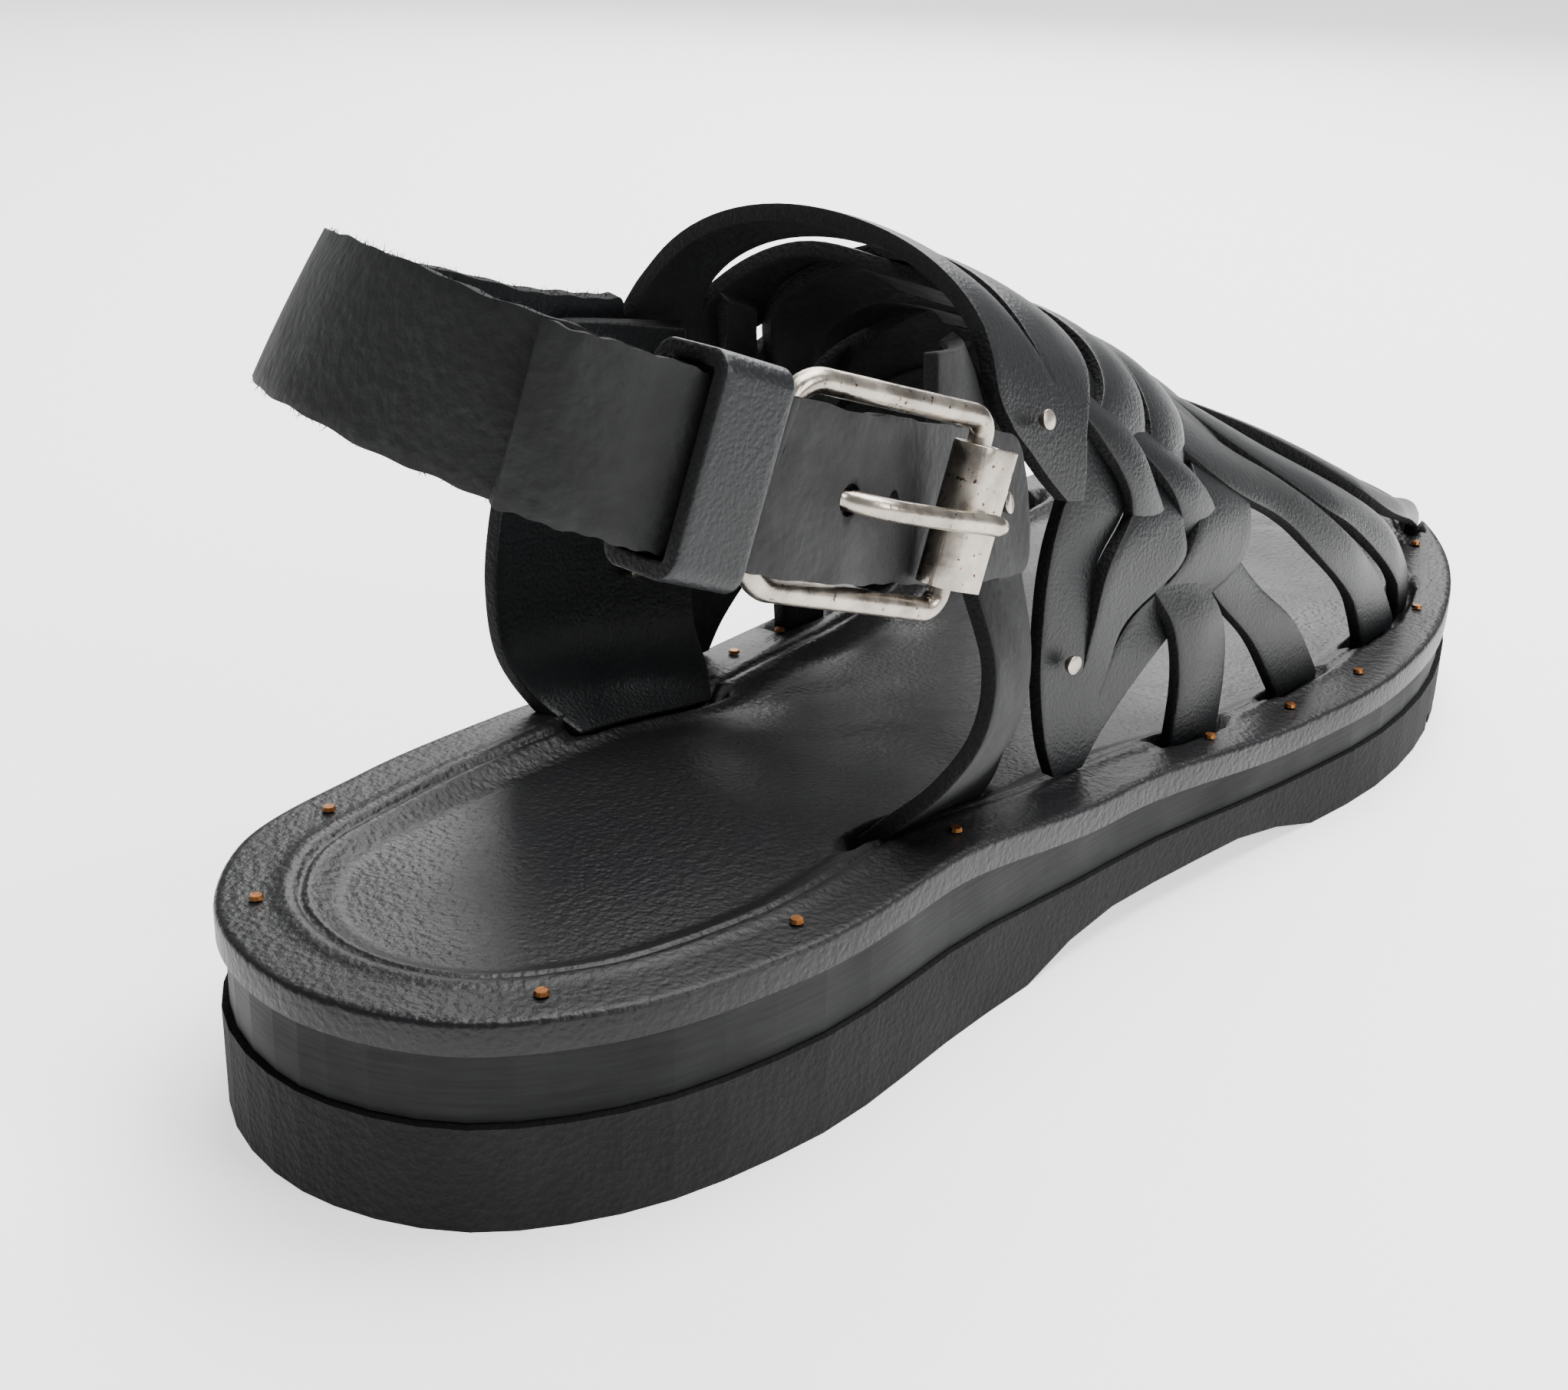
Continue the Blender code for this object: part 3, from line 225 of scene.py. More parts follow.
# Outline of the sole: share of the length, then reach to the medial and the lateral side as
# shares of the ball width
OUTLINE = (
    (0.000, 0.000, 0.000),
    (0.022, 0.190, 0.185),
    (0.070, 0.298, 0.292),
    (0.160, 0.340, 0.370),
    (0.300, 0.336, 0.380),
    (0.440, 0.350, 0.402),
    (0.580, 0.414, 0.453),
    (0.700, 0.490, 0.490),
    (0.810, 0.490, 0.456),
    (0.900, 0.430, 0.364),
    (0.965, 0.290, 0.194),
    (1.000, 0.070, -0.070),
)

# Last above the footbed: share of the length, reach of the wall's foot to the lateral and medial
# side and place of the ridge as shares of the ball width, ridge height as a share of the instep
# height, and fullness, where a low value squares the shoulders
LAST = (
    (0.240, 0.260, 0.340, -0.045, 1.135, 0.30),
    (0.362, 0.277, 0.340, -0.045, 1.000, 0.30),
    (0.431, 0.313, 0.340, -0.036, 0.923, 0.38),
    (0.517, 0.348, 0.348, -0.027, 0.817, 0.50),
    (0.621, 0.366, 0.375, -0.018, 0.683, 0.58),
    (0.707, 0.384, 0.411, -0.009, 0.577, 0.62),
    (0.786, 0.380, 0.415, -0.009, 0.481, 0.66),
    (0.862, 0.335, 0.390, -0.027, 0.404, 0.70),
    (0.931, 0.262, 0.320, -0.053, 0.346, 0.75),
    (1.000, 0.150, 0.220, -0.071, 0.310, 0.75),
)

# Folds of the bed: share of the length, place across as a share of the ball width, direction in
# degrees from straight ahead, and length, width and depth in millimetres (a ridge is negative)
FOLDS = (
    (0.30, -0.20, 28, 60, 9.0, 0.50),
    (0.36, -0.10, 34, 70, 7.0, -0.45),
    (0.42, -0.16, 24, 56, 8.0, 0.55),
    (0.48, 0.02, 62, 42, 6.0, 0.40),
    (0.34, 0.20, -12, 52, 7.0, 0.40),
    (0.40, 0.27, 8, 44, 4.0, -0.35),
    (0.54, -0.24, 10, 60, 7.0, 0.45),
    (0.60, 0.22, 70, 34, 5.0, 0.35),
    (0.66, 0.10, 80, 46, 5.5, -0.30),
    (0.74, 0.22, 66, 32, 4.0, 0.30),
    (0.80, 0.05, 84, 50, 5.0, 0.35),
    (0.86, -0.10, 96, 44, 5.0, -0.30),
    (0.91, 0.10, 74, 26, 3.5, 0.25),
)

# Slots in the footbed: the feet of the fingers, from and to as shares of the length, each on
# both sides, and the quarters' slots in millimetres across and along from the heel tip
FINGER_FEET = (
    (0.508, 0.556),
    (0.625, 0.672),
    (0.734, 0.786),
    (0.803, 0.843),
    (0.923, 0.950),
)
QUARTER_FEET = (
    (27.0, 79.0, 26.5, 108.0),
    (-27.0, 80.5, -27.0, 112.0),
)

def ease(value):
    t = np.clip(value, 0.0, 1.0)
    return t * t * (3 - 2 * t)


def outline_points(per_span):
    """The sole's outline, anticlockwise from the heel tip, as a closed smooth curve."""
    lateral = [(row[2] * BALL_WIDTH, row[0] * SOLE_LENGTH) for row in OUTLINE]
    medial = [(-row[1] * BALL_WIDTH, row[0] * SOLE_LENGTH) for row in OUTLINE[-2:0:-1]]
    ring = lateral + medial
    count = len(ring)
    points = []
    for i in range(count):
        spans = [Vector(ring[(i + k) % count]) for k in (-1, 0, 1, 2)]
        steps = [b - a for a, b in zip(spans, spans[1:])]
        chords = [step.length for step in steps]
        tangent_in = steps[1] / chords[1] * chords[0] + steps[0] / chords[0] * chords[1]
        tangent_in *= chords[1] / (chords[0] + chords[1])
        tangent_out = steps[2] / chords[2] * chords[1] + steps[1] / chords[1] * chords[2]
        tangent_out *= chords[1] / (chords[1] + chords[2])
        for k in range(per_span):
            t = k / per_span
            points.append(
                spans[1] * (2 * t**3 - 3 * t**2 + 1)
                + tangent_in * (t**3 - 2 * t**2 + t)
                + spans[2] * (3 * t**2 - 2 * t**3)
                + tangent_out * (t**3 - t**2)
            )
    return points


def rim_height(y):
    """Height of the footbed's rim along the shoe."""
    places = (0.00, 0.26, 0.42, 0.60, 0.80, 1.00)
    toe_root = BALL_HEIGHT + 0.15 * TOE_SPRING
    heights = (HEEL_HEIGHT, HEEL_HEIGHT, WAIST_HEIGHT, BALL_HEIGHT, toe_root, TOE_HEIGHT)
    share = y / SOLE_LENGTH
    for i in range(5):
        if share <= places[i + 1]:
            t = (share - places[i]) / (places[i + 1] - places[i])
            return heights[i] + (heights[i + 1] - heights[i]) * float(ease(t))
    return TOE_HEIGHT


def distance_to_segments(spots, starts, ends):
    """Smallest distance from each spot to any of the segments."""
    span = ends - starts
    along = ((spots[:, None, :] - starts[None]) * span[None]).sum(2) / (span**2).sum(1)[None]
    nearest = starts[None] + span[None] * np.clip(along, 0, 1)[..., None]
    return np.sqrt(((spots[:, None, :] - nearest) ** 2).sum(2)).min(1)


def footbed_mesh():
    """Rings from the sole's edge in to the middle line, with a short wall down the edge; the underside is
    left open.
    """
    ring = outline_points(16)
    shares = [0.0, 0.004, 0.012, 0.03] + [0.03 + 0.97 * ((i + 1) / RINGS) ** 1.2 for i in range(RINGS)]
    rows = []
    for share in shares:
        row = []
        for point in ring:
            y = min(max(point.y, SOLE_LENGTH * 0.16), SOLE_LENGTH * 0.86)
            middle = Vector((0.001, y))
            row.append(point.lerp(middle, share))
        rows.append(row)
    flat = np.array([[p.x, p.y] for row in rows for p in row])
    edge = np.array([[p.x, p.y] for p in ring])
    inside = distance_to_segments(flat, edge, np.roll(edge, -1, axis=0))
    rise = -BED_DEPTH * ease((inside - RIM_WIDTH) / BED_SLOPE)
    rise -= EDGE_ROUND * (1 - np.sqrt(1 - (1 - np.clip(inside / EDGE_ROUND, 0, 1)) ** 2))
    heel_part = ease((0.42 - flat[:, 1] / SOLE_LENGTH) / 0.08)
    rise -= (0.00045 + 0.0003 * heel_part) * np.exp(-(((inside - RIM_WIDTH - 0.0003) / 0.00045) ** 2))
    rise += 0.00035 * np.exp(-(((inside - RIM_WIDTH + 0.0016) / 0.0012) ** 2))
    in_bed = ease((inside - RIM_WIDTH) / 0.004)
    for along, across, turn, length, width, depth in FOLDS:
        centre = np.array([across * BALL_WIDTH, along * SOLE_LENGTH])
        angle = math.radians(turn)
        ahead = np.array([math.sin(angle), math.cos(angle)])
        aside = np.array([ahead[1], -ahead[0]])
        reach = (flat - centre) @ ahead
        drift = (flat - centre) @ aside + 0.002 * np.sin(reach * 90.0)
        shape = np.exp(-((reach / (length * 0.0005)) ** 4)) * np.exp(-((drift / (width * 0.0005)) ** 2))
        rise -= in_bed * depth * 0.001 * shape
    cuts = [[value * 0.001 for value in row] for row in QUARTER_FEET]
    for ends in FINGER_FEET:
        for column, side in ((1, 1), (2, -1)):
            reach = np.interp(ends, [row[0] for row in LAST], [row[column] for row in LAST])
            near, far = side * reach * BALL_WIDTH
            cuts.append([near, ends[0] * SOLE_LENGTH, far, ends[1] * SOLE_LENGTH])
    cuts = np.array(cuts)
    to_slot = distance_to_segments(flat, cuts[:, :2], cuts[:, 2:])
    rise -= SLOT_DEPTH * ease((0.0030 - to_slot) / 0.0011)
    bm = bmesh.new()
    count = len(ring)
    built = []
    for i, row in enumerate(rows):
        line = []
        for k, point in enumerate(row):
            line.append(bm.verts.new((point.x, point.y, rim_height(point.y) + rise[i * count + k])))
        built.append(line)
    floor = [bm.verts.new((p.x, p.y, rim_height(p.y) - INSOLE_THICKNESS)) for p in ring]
    for a, b in zip([floor] + built, built):
        for k in range(count):
            n = (k + 1) % count
            bm.faces.new((a[k], a[n], b[n], b[k]))
    bmesh.ops.translate(bm, verts=bm.verts, vec=-MIDDLE)
    bmesh.ops.remove_doubles(bm, verts=bm.verts, dist=0.00012)
    bmesh.ops.recalc_face_normals(bm, faces=bm.faces)
    mesh = bpy.data.meshes.new("footbed")
    bm.to_mesh(mesh)
    bm.free()
    mesh.shade_smooth()
    return mesh


def dyed_leather(name, dark, light, grain_mm, gloss, relief_share, fold_mm=26.0):
    """Black dyed leather: fine pores, slow changes of tone and gloss, and a thin wax finish."""
    made, tree, shader = new_material(name)
    place = add(tree, "ShaderNodeTexCoord").outputs["Object"]
    pores = add(tree, "ShaderNodeTexVoronoi", [
        ("Vector", place), ("Scale", 1000 / grain_mm),
    ], feature="SMOOTH_F1")
    fine = add(tree, "ShaderNodeTexNoise", [
        ("Vector", place), ("Scale", 1600 / grain_mm), ("Detail", 4.0),
    ])
    tone = add(tree, "ShaderNodeTexNoise", [
        ("Vector", place), ("Scale", 1000 / fold_mm), ("Detail", 5.0),
    ])
    skin = add(tree, "ShaderNodeMath", [
        (0, pores.outputs["Distance"]), (1, fine.outputs["Fac"]),
    ], operation="ADD")
    relief = add(tree, "ShaderNodeBump", [
        ("Height", skin.outputs[0]), ("Strength", relief_share), ("Distance", 0.00022),
    ])
    tint = add(tree, "ShaderNodeValToRGB", [("Fac", tone.outputs["Fac"])])
    tint.color_ramp.elements[0].position = 0.34
    tint.color_ramp.elements[0].color = colour(dark)
    tint.color_ramp.elements[1].position = 0.72
    tint.color_ramp.elements[1].color = colour(light)
    shine = add(tree, "ShaderNodeMapRange", [
        ("Value", tone.outputs["Fac"]), ("From Min", 0.3), ("From Max", 0.7),
        ("To Min", gloss + 0.07), ("To Max", gloss - 0.05),
    ])
    tree.links.new(tint.outputs["Color"], shader.inputs["Base Color"])
    tree.links.new(shine.outputs["Result"], shader.inputs["Roughness"])
    tree.links.new(relief.outputs["Normal"], shader.inputs["Normal"])
    shader.inputs["Specular IOR Level"].default_value = 0.30
    return made


footbed_leather = dyed_leather("pressed_footbed_leather", "#080809", "#131315", 1.0, 0.40, 0.60)
footbed = show("footbed", footbed_mesh(), footbed_leather)
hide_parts("insole")
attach(footbed, "root")

# Woven upper: fingers cut in two palms and two wings of strap leather, plaited over the last
# while damp and drawn through slots in the footbed. Each finger rises where it crosses another.
UPPER_LEATHER = 0.0024
STRIP_LIFT = 0.0012
INSTEP_HEIGHT = 0.104
FOOT_DEPTH = 0.0030
BEVEL = 0.00045
CROWN = 0.00045

# Fingers of the weave, from the lateral wing or palm over the ridge to the medial slot.
# around: 1 at the lateral foot of the wall, 0 on the ridge, -1 at the medial foot.
# rear and front: the finger's two edges as shares of the sole's length.
# layer: 1 lies over what it crosses, -1 lies under it.
COLLAR_BAND = (
    (0.55, 0.4000, 0.4060, 1.0),
    (0.52, 0.3870, 0.4085, 1.0),
    (0.48, 0.3720, 0.4080, 1.0),
    (0.45, 0.3600, 0.4070, 1.0),
    (0.41, 0.3520, 0.4050, 1.0),
    (0.35, 0.3560, 0.4010, 1.0),
    (0.29, 0.3600, 0.3960, 1.0),
    (0.15, 0.3620, 0.3940, 1.0),
    (0.00, 0.3620, 0.3930, 1.0),
)
PALM_FINGER = (
    (0.55, 0.4060, 0.4120, 1.0),
    (0.52, 0.4085, 0.4155, 1.0),
    (0.48, 0.4080, 0.4185, 1.0),
    (0.45, 0.4070, 0.4220, 1.0),
    (0.41, 0.4050, 0.4310, 1.0),
    (0.35, 0.4010, 0.4480, 1.0),
    (0.28, 0.4060, 0.4620, 0.8),
    (0.15, 0.4180, 0.4740, 1.0),
    (0.00, 0.4280, 0.4800, 1.0),
    (-0.15, 0.4330, 0.4830, -0.8),
    (-0.30, 0.4400, 0.4870, -1.0),
    (-0.42, 0.4640, 0.5000, -1.0),
    (-0.54, 0.4960, 0.5330, 1.0),
    (-0.64, 0.5200, 0.5660, -0.8),
    (-0.74, 0.5500, 0.6000, -1.0),
    (-0.85, 0.5900, 0.6400, -0.2),
    (-1.00, 0.6250, 0.6720, 0.0),
)
WING_TOP = (
    (0.994, 0.4080, 0.4160, 0.0),
    (0.93, 0.3990, 0.4200, 0.0),
    (0.83, 0.3920, 0.4240, 0.0),
    (0.75, 0.3920, 0.4280, -0.3),
    (0.66, 0.3960, 0.4330, -0.8),
    (0.58, 0.4050, 0.4560, -1.0),
    (0.48, 0.4260, 0.4860, -1.0),
    (0.36, 0.4660, 0.5080, 0.6),
    (0.22, 0.4900, 0.5280, 1.0),
    (0.00, 0.5080, 0.5560, 1.0),
    (-0.20, 0.5180, 0.5760, -0.6),
    (-0.40, 0.5240, 0.6120, -1.0),
    (-0.52, 0.5640, 0.6480, 0.4),
    (-0.60, 0.6220, 0.6760, 1.0),
    (-0.70, 0.6600, 0.7100, 1.0),
    (-0.83, 0.7030, 0.7500, 0.4),
    (-1.00, 0.7340, 0.7860, 0.0),
)
WING_MIDDLE = (
    (0.994, 0.4160, 0.4220, 0.0),
    (0.93, 0.4200, 0.4330, 0.0),
    (0.83, 0.4240, 0.4450, 0.0),
    (0.75, 0.4280, 0.4560, 0.4),
    (0.66, 0.4330, 0.5000, 1.0),
    (0.59, 0.4560, 0.5070, 0.4),
    (0.50, 0.4900, 0.5290, -1.0),
    (0.38, 0.5120, 0.5560, 0.2),
    (0.22, 0.5340, 0.5760, 1.0),
    (0.00, 0.5620, 0.6100, 1.0),
    (-0.20, 0.5860, 0.6440, -0.6),
    (-0.40, 0.6280, 0.6960, -0.6),
    (-0.58, 0.6800, 0.7480, 0.6),
    (-0.68, 0.7260, 0.7820, 0.6),
    (-0.84, 0.7760, 0.8140, 0.2),
    (-1.00, 0.8030, 0.8430, 0.0),
)
WING_LOWER = (
    (0.994, 0.4220, 0.4300, 0.0),
    (0.93, 0.4330, 0.4470, 0.0),
    (0.83, 0.4450, 0.4850, -0.3),
    (0.75, 0.4700, 0.5280, -1.0),
    (0.67, 0.5000, 0.5680, 0.6),
    (0.58, 0.5240, 0.5880, 0.6),
    (0.46, 0.5480, 0.6100, -1.0),
    (0.30, 0.5800, 0.6340, -1.0),
    (0.14, 0.6060, 0.6560, 0.6),
    (0.00, 0.6280, 0.6760, 1.0),
    (-0.16, 0.6580, 0.7060, -0.6),
    (-0.34, 0.7080, 0.7520, 0.6),
    (-0.50, 0.7560, 0.7980, 1.0),
    (-0.66, 0.8100, 0.8480, 0.8),
    (-0.82, 0.8760, 0.9080, 0.2),
    (-1.00, 0.9230, 0.9500, 0.0),
)
PALM_TONGUE = (
    (0.30, 0.4040, 0.4300, -1.0),
    (0.37, 0.4160, 0.4440, -1.0),
    (0.46, 0.4340, 0.4690, 0.8),
    (0.54, 0.4540, 0.4800, 1.0),
    (0.63, 0.4660, 0.5080, -0.8),
    (0.71, 0.4810, 0.5320, -0.2),
    (0.78, 0.4950, 0.5440, 1.0),
    (0.88, 0.5060, 0.5530, 0.6),
    (1.00, 0.5080, 0.5560, 0.0),
)


def curve_through(rows, share):
    """A point at a share from 0 to 1 along a smooth curve through rows of equal length."""
    last = len(rows) - 1
    at = min(max(share, 0.0), 1.0) * last
    i = min(int(at), last - 1)
    t = at - i
    before, start, end, after = (rows[max(i - 1, 0)], rows[i], rows[i + 1], rows[min(i + 2, last)])
    return [
        (2 * t**3 - 3 * t**2 + 1) * b
        + (t**3 - 2 * t**2 + t) * (c - a) / 2
        + (3 * t**2 - 2 * t**3) * c
        + (t**3 - t**2) * (d - b) / 2
        for a, b, c, d in zip(before, start, end, after)
    ]


def last_section(y, side):
    """Half of the last's cross-section, from the ridge to the wall's foot, and its lengths."""
    share = y / SOLE_LENGTH
    columns = [np.interp(share, [row[0] for row in LAST], [row[k] for row in LAST]) for k in range(1, 6)]
    lateral, medial, ridge, height, fullness = columns
    reach = (lateral - ridge) if side > 0 else (medial + ridge)
    floor = rim_height(y)
    angle = math.pi / 2 * (1 - (1 - np.linspace(0, 1, 61)) ** 2)
    x = (ridge + side * reach * np.sin(angle)) * BALL_WIDTH
    z = floor + (height * INSTEP_HEIGHT - floor) * np.maximum(np.cos(angle), 0.0) ** fullness
    steps = np.hypot(np.diff(x), np.diff(z))
    return x, z, np.concatenate([[0.0], np.cumsum(steps)])


SECTIONS = {}


def on_last(around, y):
    side = 1 if around >= 0 else -1
    key = (round(y, 6), side)
    if key not in SECTIONS:
        SECTIONS[key] = last_section(y, side)
    x, z, lengths = SECTIONS[key]
    want = min(abs(around), 1.0) * lengths[-1]
    return Vector((np.interp(want, lengths, x), y, np.interp(want, lengths, z)))


def off_last(around, y, lift):
    """A point lifted off the last along its surface's direction there."""
    here = on_last(around, y)
    across = on_last(min(around + 0.004, 1.0), y) - on_last(max(around - 0.004, -1.0), y)
    forward = on_last(around, y + 0.001) - on_last(around, y - 0.001)
    normal = across.cross(forward).normalized()
    if abs(around) > 0.9:
        normal = normal.lerp(Vector((math.copysign(1, around), 0, 0)), 0.7).normalized()
    return here + normal * lift, normal


def mirrored(rows):
    return [(-row[0], row[1], row[2], row[3]) for row in rows]


def under(rows):
    """The far side's finger lies under its twin where the two cross on the ridge."""
    return [(a, b, c, -abs(d) if abs(a) < 0.1 else d) for a, b, c, d in rows]


STATIONS = 7
ACROSS = 8


def finger_sheet(fingers, joined_from):
    """An open sheet cut into fingers, with a slight crown across each where it runs free."""
    bm = bmesh.new()
    for rows, has_foot in fingers:
        count = (len(rows) - 1) * STATIONS
        root = math.copysign(1.0, rows[0][0])
        built = []
        for i in range(count + 1):
            around, rear, front, layer = curve_through(rows, i / count)
            free = float(ease((joined_from - around * root) / 0.08))
            line = []
            for k in range(ACROSS + 1):
                share = k / ACROSS
                crown = CROWN * free * (1 - (2 * share - 1) ** 2)
                y = (rear + (front - rear) * share) * SOLE_LENGTH
                line.append(bm.verts.new(off_last(around, y, layer * STRIP_LIFT + crown)[0]))
            built.append(line)
        if has_foot:
            built.append([bm.verts.new(v.co - Vector((0, 0, FOOT_DEPTH))) for v in built[-1]])
        for a, b in zip(built, built[1:]):
            for k in range(ACROSS):
                bm.faces.new((a[k], a[k + 1], b[k + 1], b[k]))
    bmesh.ops.remove_doubles(bm, verts=bm.verts, dist=0.00015)
    bmesh.ops.recalc_face_normals(bm, faces=bm.faces)
    upward = sum(face.normal.z * face.calc_area() for face in bm.faces)
    if upward < 0:
        bmesh.ops.reverse_faces(bm, faces=bm.faces)
    bmesh.ops.translate(bm, verts=bm.verts, vec=-MIDDLE)
    mesh = bpy.data.meshes.new("fingers")
    bm.to_mesh(mesh)
    bm.free()
    mesh.shade_smooth()
    return mesh


def as_leather(piece, thickness, bevel=BEVEL):
    """Gives an open sheet its thickness, a flesh side, raw edges and rubbed corners."""
    thicken = piece.modifiers.new("thickness", "SOLIDIFY")
    thicken.thickness = thickness
    thicken.offset = 0.0
    thicken.use_quality_normals = True
    thicken.material_offset = 2
    thicken.material_offset_rim = 1
    rub = piece.modifiers.new("rubbed_corners", "BEVEL")
    rub.width = bevel
    rub.segments = 2
    rub.limit_method = "ANGLE"
    rub.angle_limit = math.radians(50)
    rub.harden_normals = False


def raw_edge():
    """Leather cut with a knife and left raw: matt black, with a nap of short fibres."""
    made, tree, shader = new_material("knife_cut_leather_edge")
    place = add(tree, "ShaderNodeTexCoord").outputs["Object"]
    fibres = add(tree, "ShaderNodeTexNoise", [("Vector", place), ("Scale", 2600.0), ("Detail", 6.0)])
    clumps = add(tree, "ShaderNodeTexVoronoi", [("Vector", place), ("Scale", 1500.0)])
    nap = add(tree, "ShaderNodeMath", [
        (0, fibres.outputs["Fac"]), (1, clumps.outputs["Distance"]),
    ], operation="ADD")
    relief = add(tree, "ShaderNodeBump", [
        ("Height", nap.outputs[0]), ("Strength", 0.6), ("Distance", 0.0004),
    ])
    tint = add(tree, "ShaderNodeValToRGB", [("Fac", fibres.outputs["Fac"])])
    tint.color_ramp.elements[0].position = 0.4
    tint.color_ramp.elements[0].color = colour("#060606")
    tint.color_ramp.elements[1].position = 0.8
    tint.color_ramp.elements[1].color = colour("#121314")
    tree.links.new(tint.outputs["Color"], shader.inputs["Base Color"])
    tree.links.new(relief.outputs["Normal"], shader.inputs["Normal"])
    shader.inputs["Roughness"].default_value = 0.85
    shader.inputs["Specular IOR Level"].default_value = 0.3
    return made


# Shoulder leather, dyed through and waxed on the grain side: near black, with broad soft highlights.
# Its flesh side is brushed and stays dull and mottled.
strap_leather = dyed_leather("waxed_strap_leather", "#08090A", "#111315", 0.6, 0.38, 0.34)
flesh_side = dyed_leather("brushed_flesh_side", "#09090A", "#121314", 1.6, 0.62, 0.60, 7.0)
cut_edge = raw_edge()

wing = [(WING_TOP, True), (WING_MIDDLE, True), (WING_LOWER, True)]
weave = [
    ("palms", [(COLLAR_BAND, False), (mirrored(COLLAR_BAND), False), (PALM_FINGER, True)], 0.34),
    ("far_palm", [(under(mirrored(PALM_FINGER)), True)], 0.34),
    ("wing", wing, 0.66),
    ("far_wing", [(under(mirrored(rows)), foot) for rows, foot in wing], 0.66),
    ("tongue", [(PALM_TONGUE, True)], 2.0),
    ("far_tongue", [(mirrored(PALM_TONGUE), True)], 2.0),
]
for name, fingers, joined_from in weave:
    sheet = show("woven_" + name, finger_sheet(fingers, joined_from), strap_leather, cut_edge, flesh_side)
    as_leather(sheet, UPPER_LEATHER)
    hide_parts("upper")
    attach(sheet, "root")

# Quarters: two broad straps of the same leather, out of slots in the footbed and up the ankle,
# bent on the last while damp. Here the flesh side faces out and the grain side faces the foot.
UPPER_RISE = INSTEP_HEIGHT - HEEL_HEIGHT
QUARTER_LEATHER = 0.0024
RUBBED = 0.0004
UP_STEPS = 64
ACROSS_STEPS = 24

# Height over the rim as a share of the upper's rise, then distance from the middle line as a
# share of the ball width and place along of the rear edge, and the same of the front
LATERAL_QUARTER = (
    (-FOOT_DEPTH / UPPER_RISE, 0.2411, 0.272, 0.2366, 0.372),
    (0.0200, 0.2812, 0.268, 0.2429, 0.386),
    (0.1200, 0.3438, 0.274, 0.2500, 0.392),
    (0.2267, 0.3750, 0.286, 0.2500, 0.394),
    (0.3467, 0.3679, 0.296, 0.2482, 0.394),
    (0.4800, 0.3259, 0.300, 0.2411, 0.392),
    (0.6400, 0.2902, 0.298, 0.2277, 0.388),
    (0.7733, 0.2679, 0.297, 0.1964, 0.384),
    (0.8800, 0.2545, 0.301, 0.1607, 0.370),
)
MEDIAL_QUARTER = (
    (-FOOT_DEPTH / UPPER_RISE, -0.2411, 0.278, -0.2411, 0.386),
    (0.0200, -0.3036, 0.270, -0.2679, 0.396),
    (0.1200, -0.3393, 0.260, -0.2946, 0.396),
    (0.2533, -0.3464, 0.256, -0.2991, 0.394),
    (0.3867, -0.3438, 0.258, -0.2946, 0.388),
    (0.5467, -0.3348, 0.266, -0.2875, 0.384),
    (0.6933, -0.3232, 0.280, -0.2750, 0.380),
    (0.8000, -0.3107, 0.300, -0.2589, 0.370),
)


def open_sheet(name, rows, closed=False):
    """A smooth open sheet through rows of points, joined to a ring where it is closed."""
    bm = bmesh.new()
    built = [[bm.verts.new(point - MIDDLE) for point in row] for row in rows]
    pairs = list(zip(built, built[1:]))
    if closed:
        pairs.append((built[-1], built[0]))
    for a, b in pairs:
        for k in range(len(a) - 1):
            bm.faces.new((a[k], a[k + 1], b[k + 1], b[k]))
    mesh = bpy.data.meshes.new(name)
    bm.to_mesh(mesh)
    bm.free()
    mesh.shade_smooth()
    return mesh


def stand_for(piece, node):
    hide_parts(node)
    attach(piece, "root")


for node, table, order in (
    ("quarter_lateral", LATERAL_QUARTER, -1),
    ("quarter_medial", MEDIAL_QUARTER, 1),
):
    rows = []
    for i in range(UP_STEPS + 1):
        rise, rear_x, rear_y, front_x, front_y = curve_through(table, i / UP_STEPS)
        row = []
        for k in range(ACROSS_STEPS + 1):
            across = k / ACROSS_STEPS
            y = (rear_y + (front_y - rear_y) * across) * SOLE_LENGTH
            x = (rear_x + (front_x - rear_x) * across**2) * BALL_WIDTH
            row.append(Vector((x, y, rim_height(y) + rise * UPPER_RISE)))
        rows.append(row[::order])
    quarter = show(node + "_strap", open_sheet(node, rows), strap_leather, cut_edge, flesh_side)
    as_leather(quarter, QUARTER_LEATHER, RUBBED)
    stand_for(quarter, node)

# Heel strap, billet and keeper: straps cut with a knife from thick shoulder leather. The heel strap
# is frayed along both edges, the billet has punched holes, and the keeper is a loop round both.
STRAP_LEATHER = 0.0026
STRAP_WIDTH = 0.0192
TAB_CORNER = 0.0050
BILLET_START = 0.780
KEEPER_LEATHER = 0.0020
KEEPER_WIDTH = 0.0100
KEEPER_PLACE = 0.925
KEEPER_CORNER = 0.0016
GAP = 0.0003
BUCKLE_WIRE = 0.0030
PRONG_WIRE = 0.0026
HOLE_RADIUS = 0.0014
PRONG_HOLE_RADIUS = 0.0019
STRAP_CROWN = 0.00030
EDGE_WEAR = 0.00022
FRAY_COUNT = 420
FIBRE_RADIUS = 0.00009

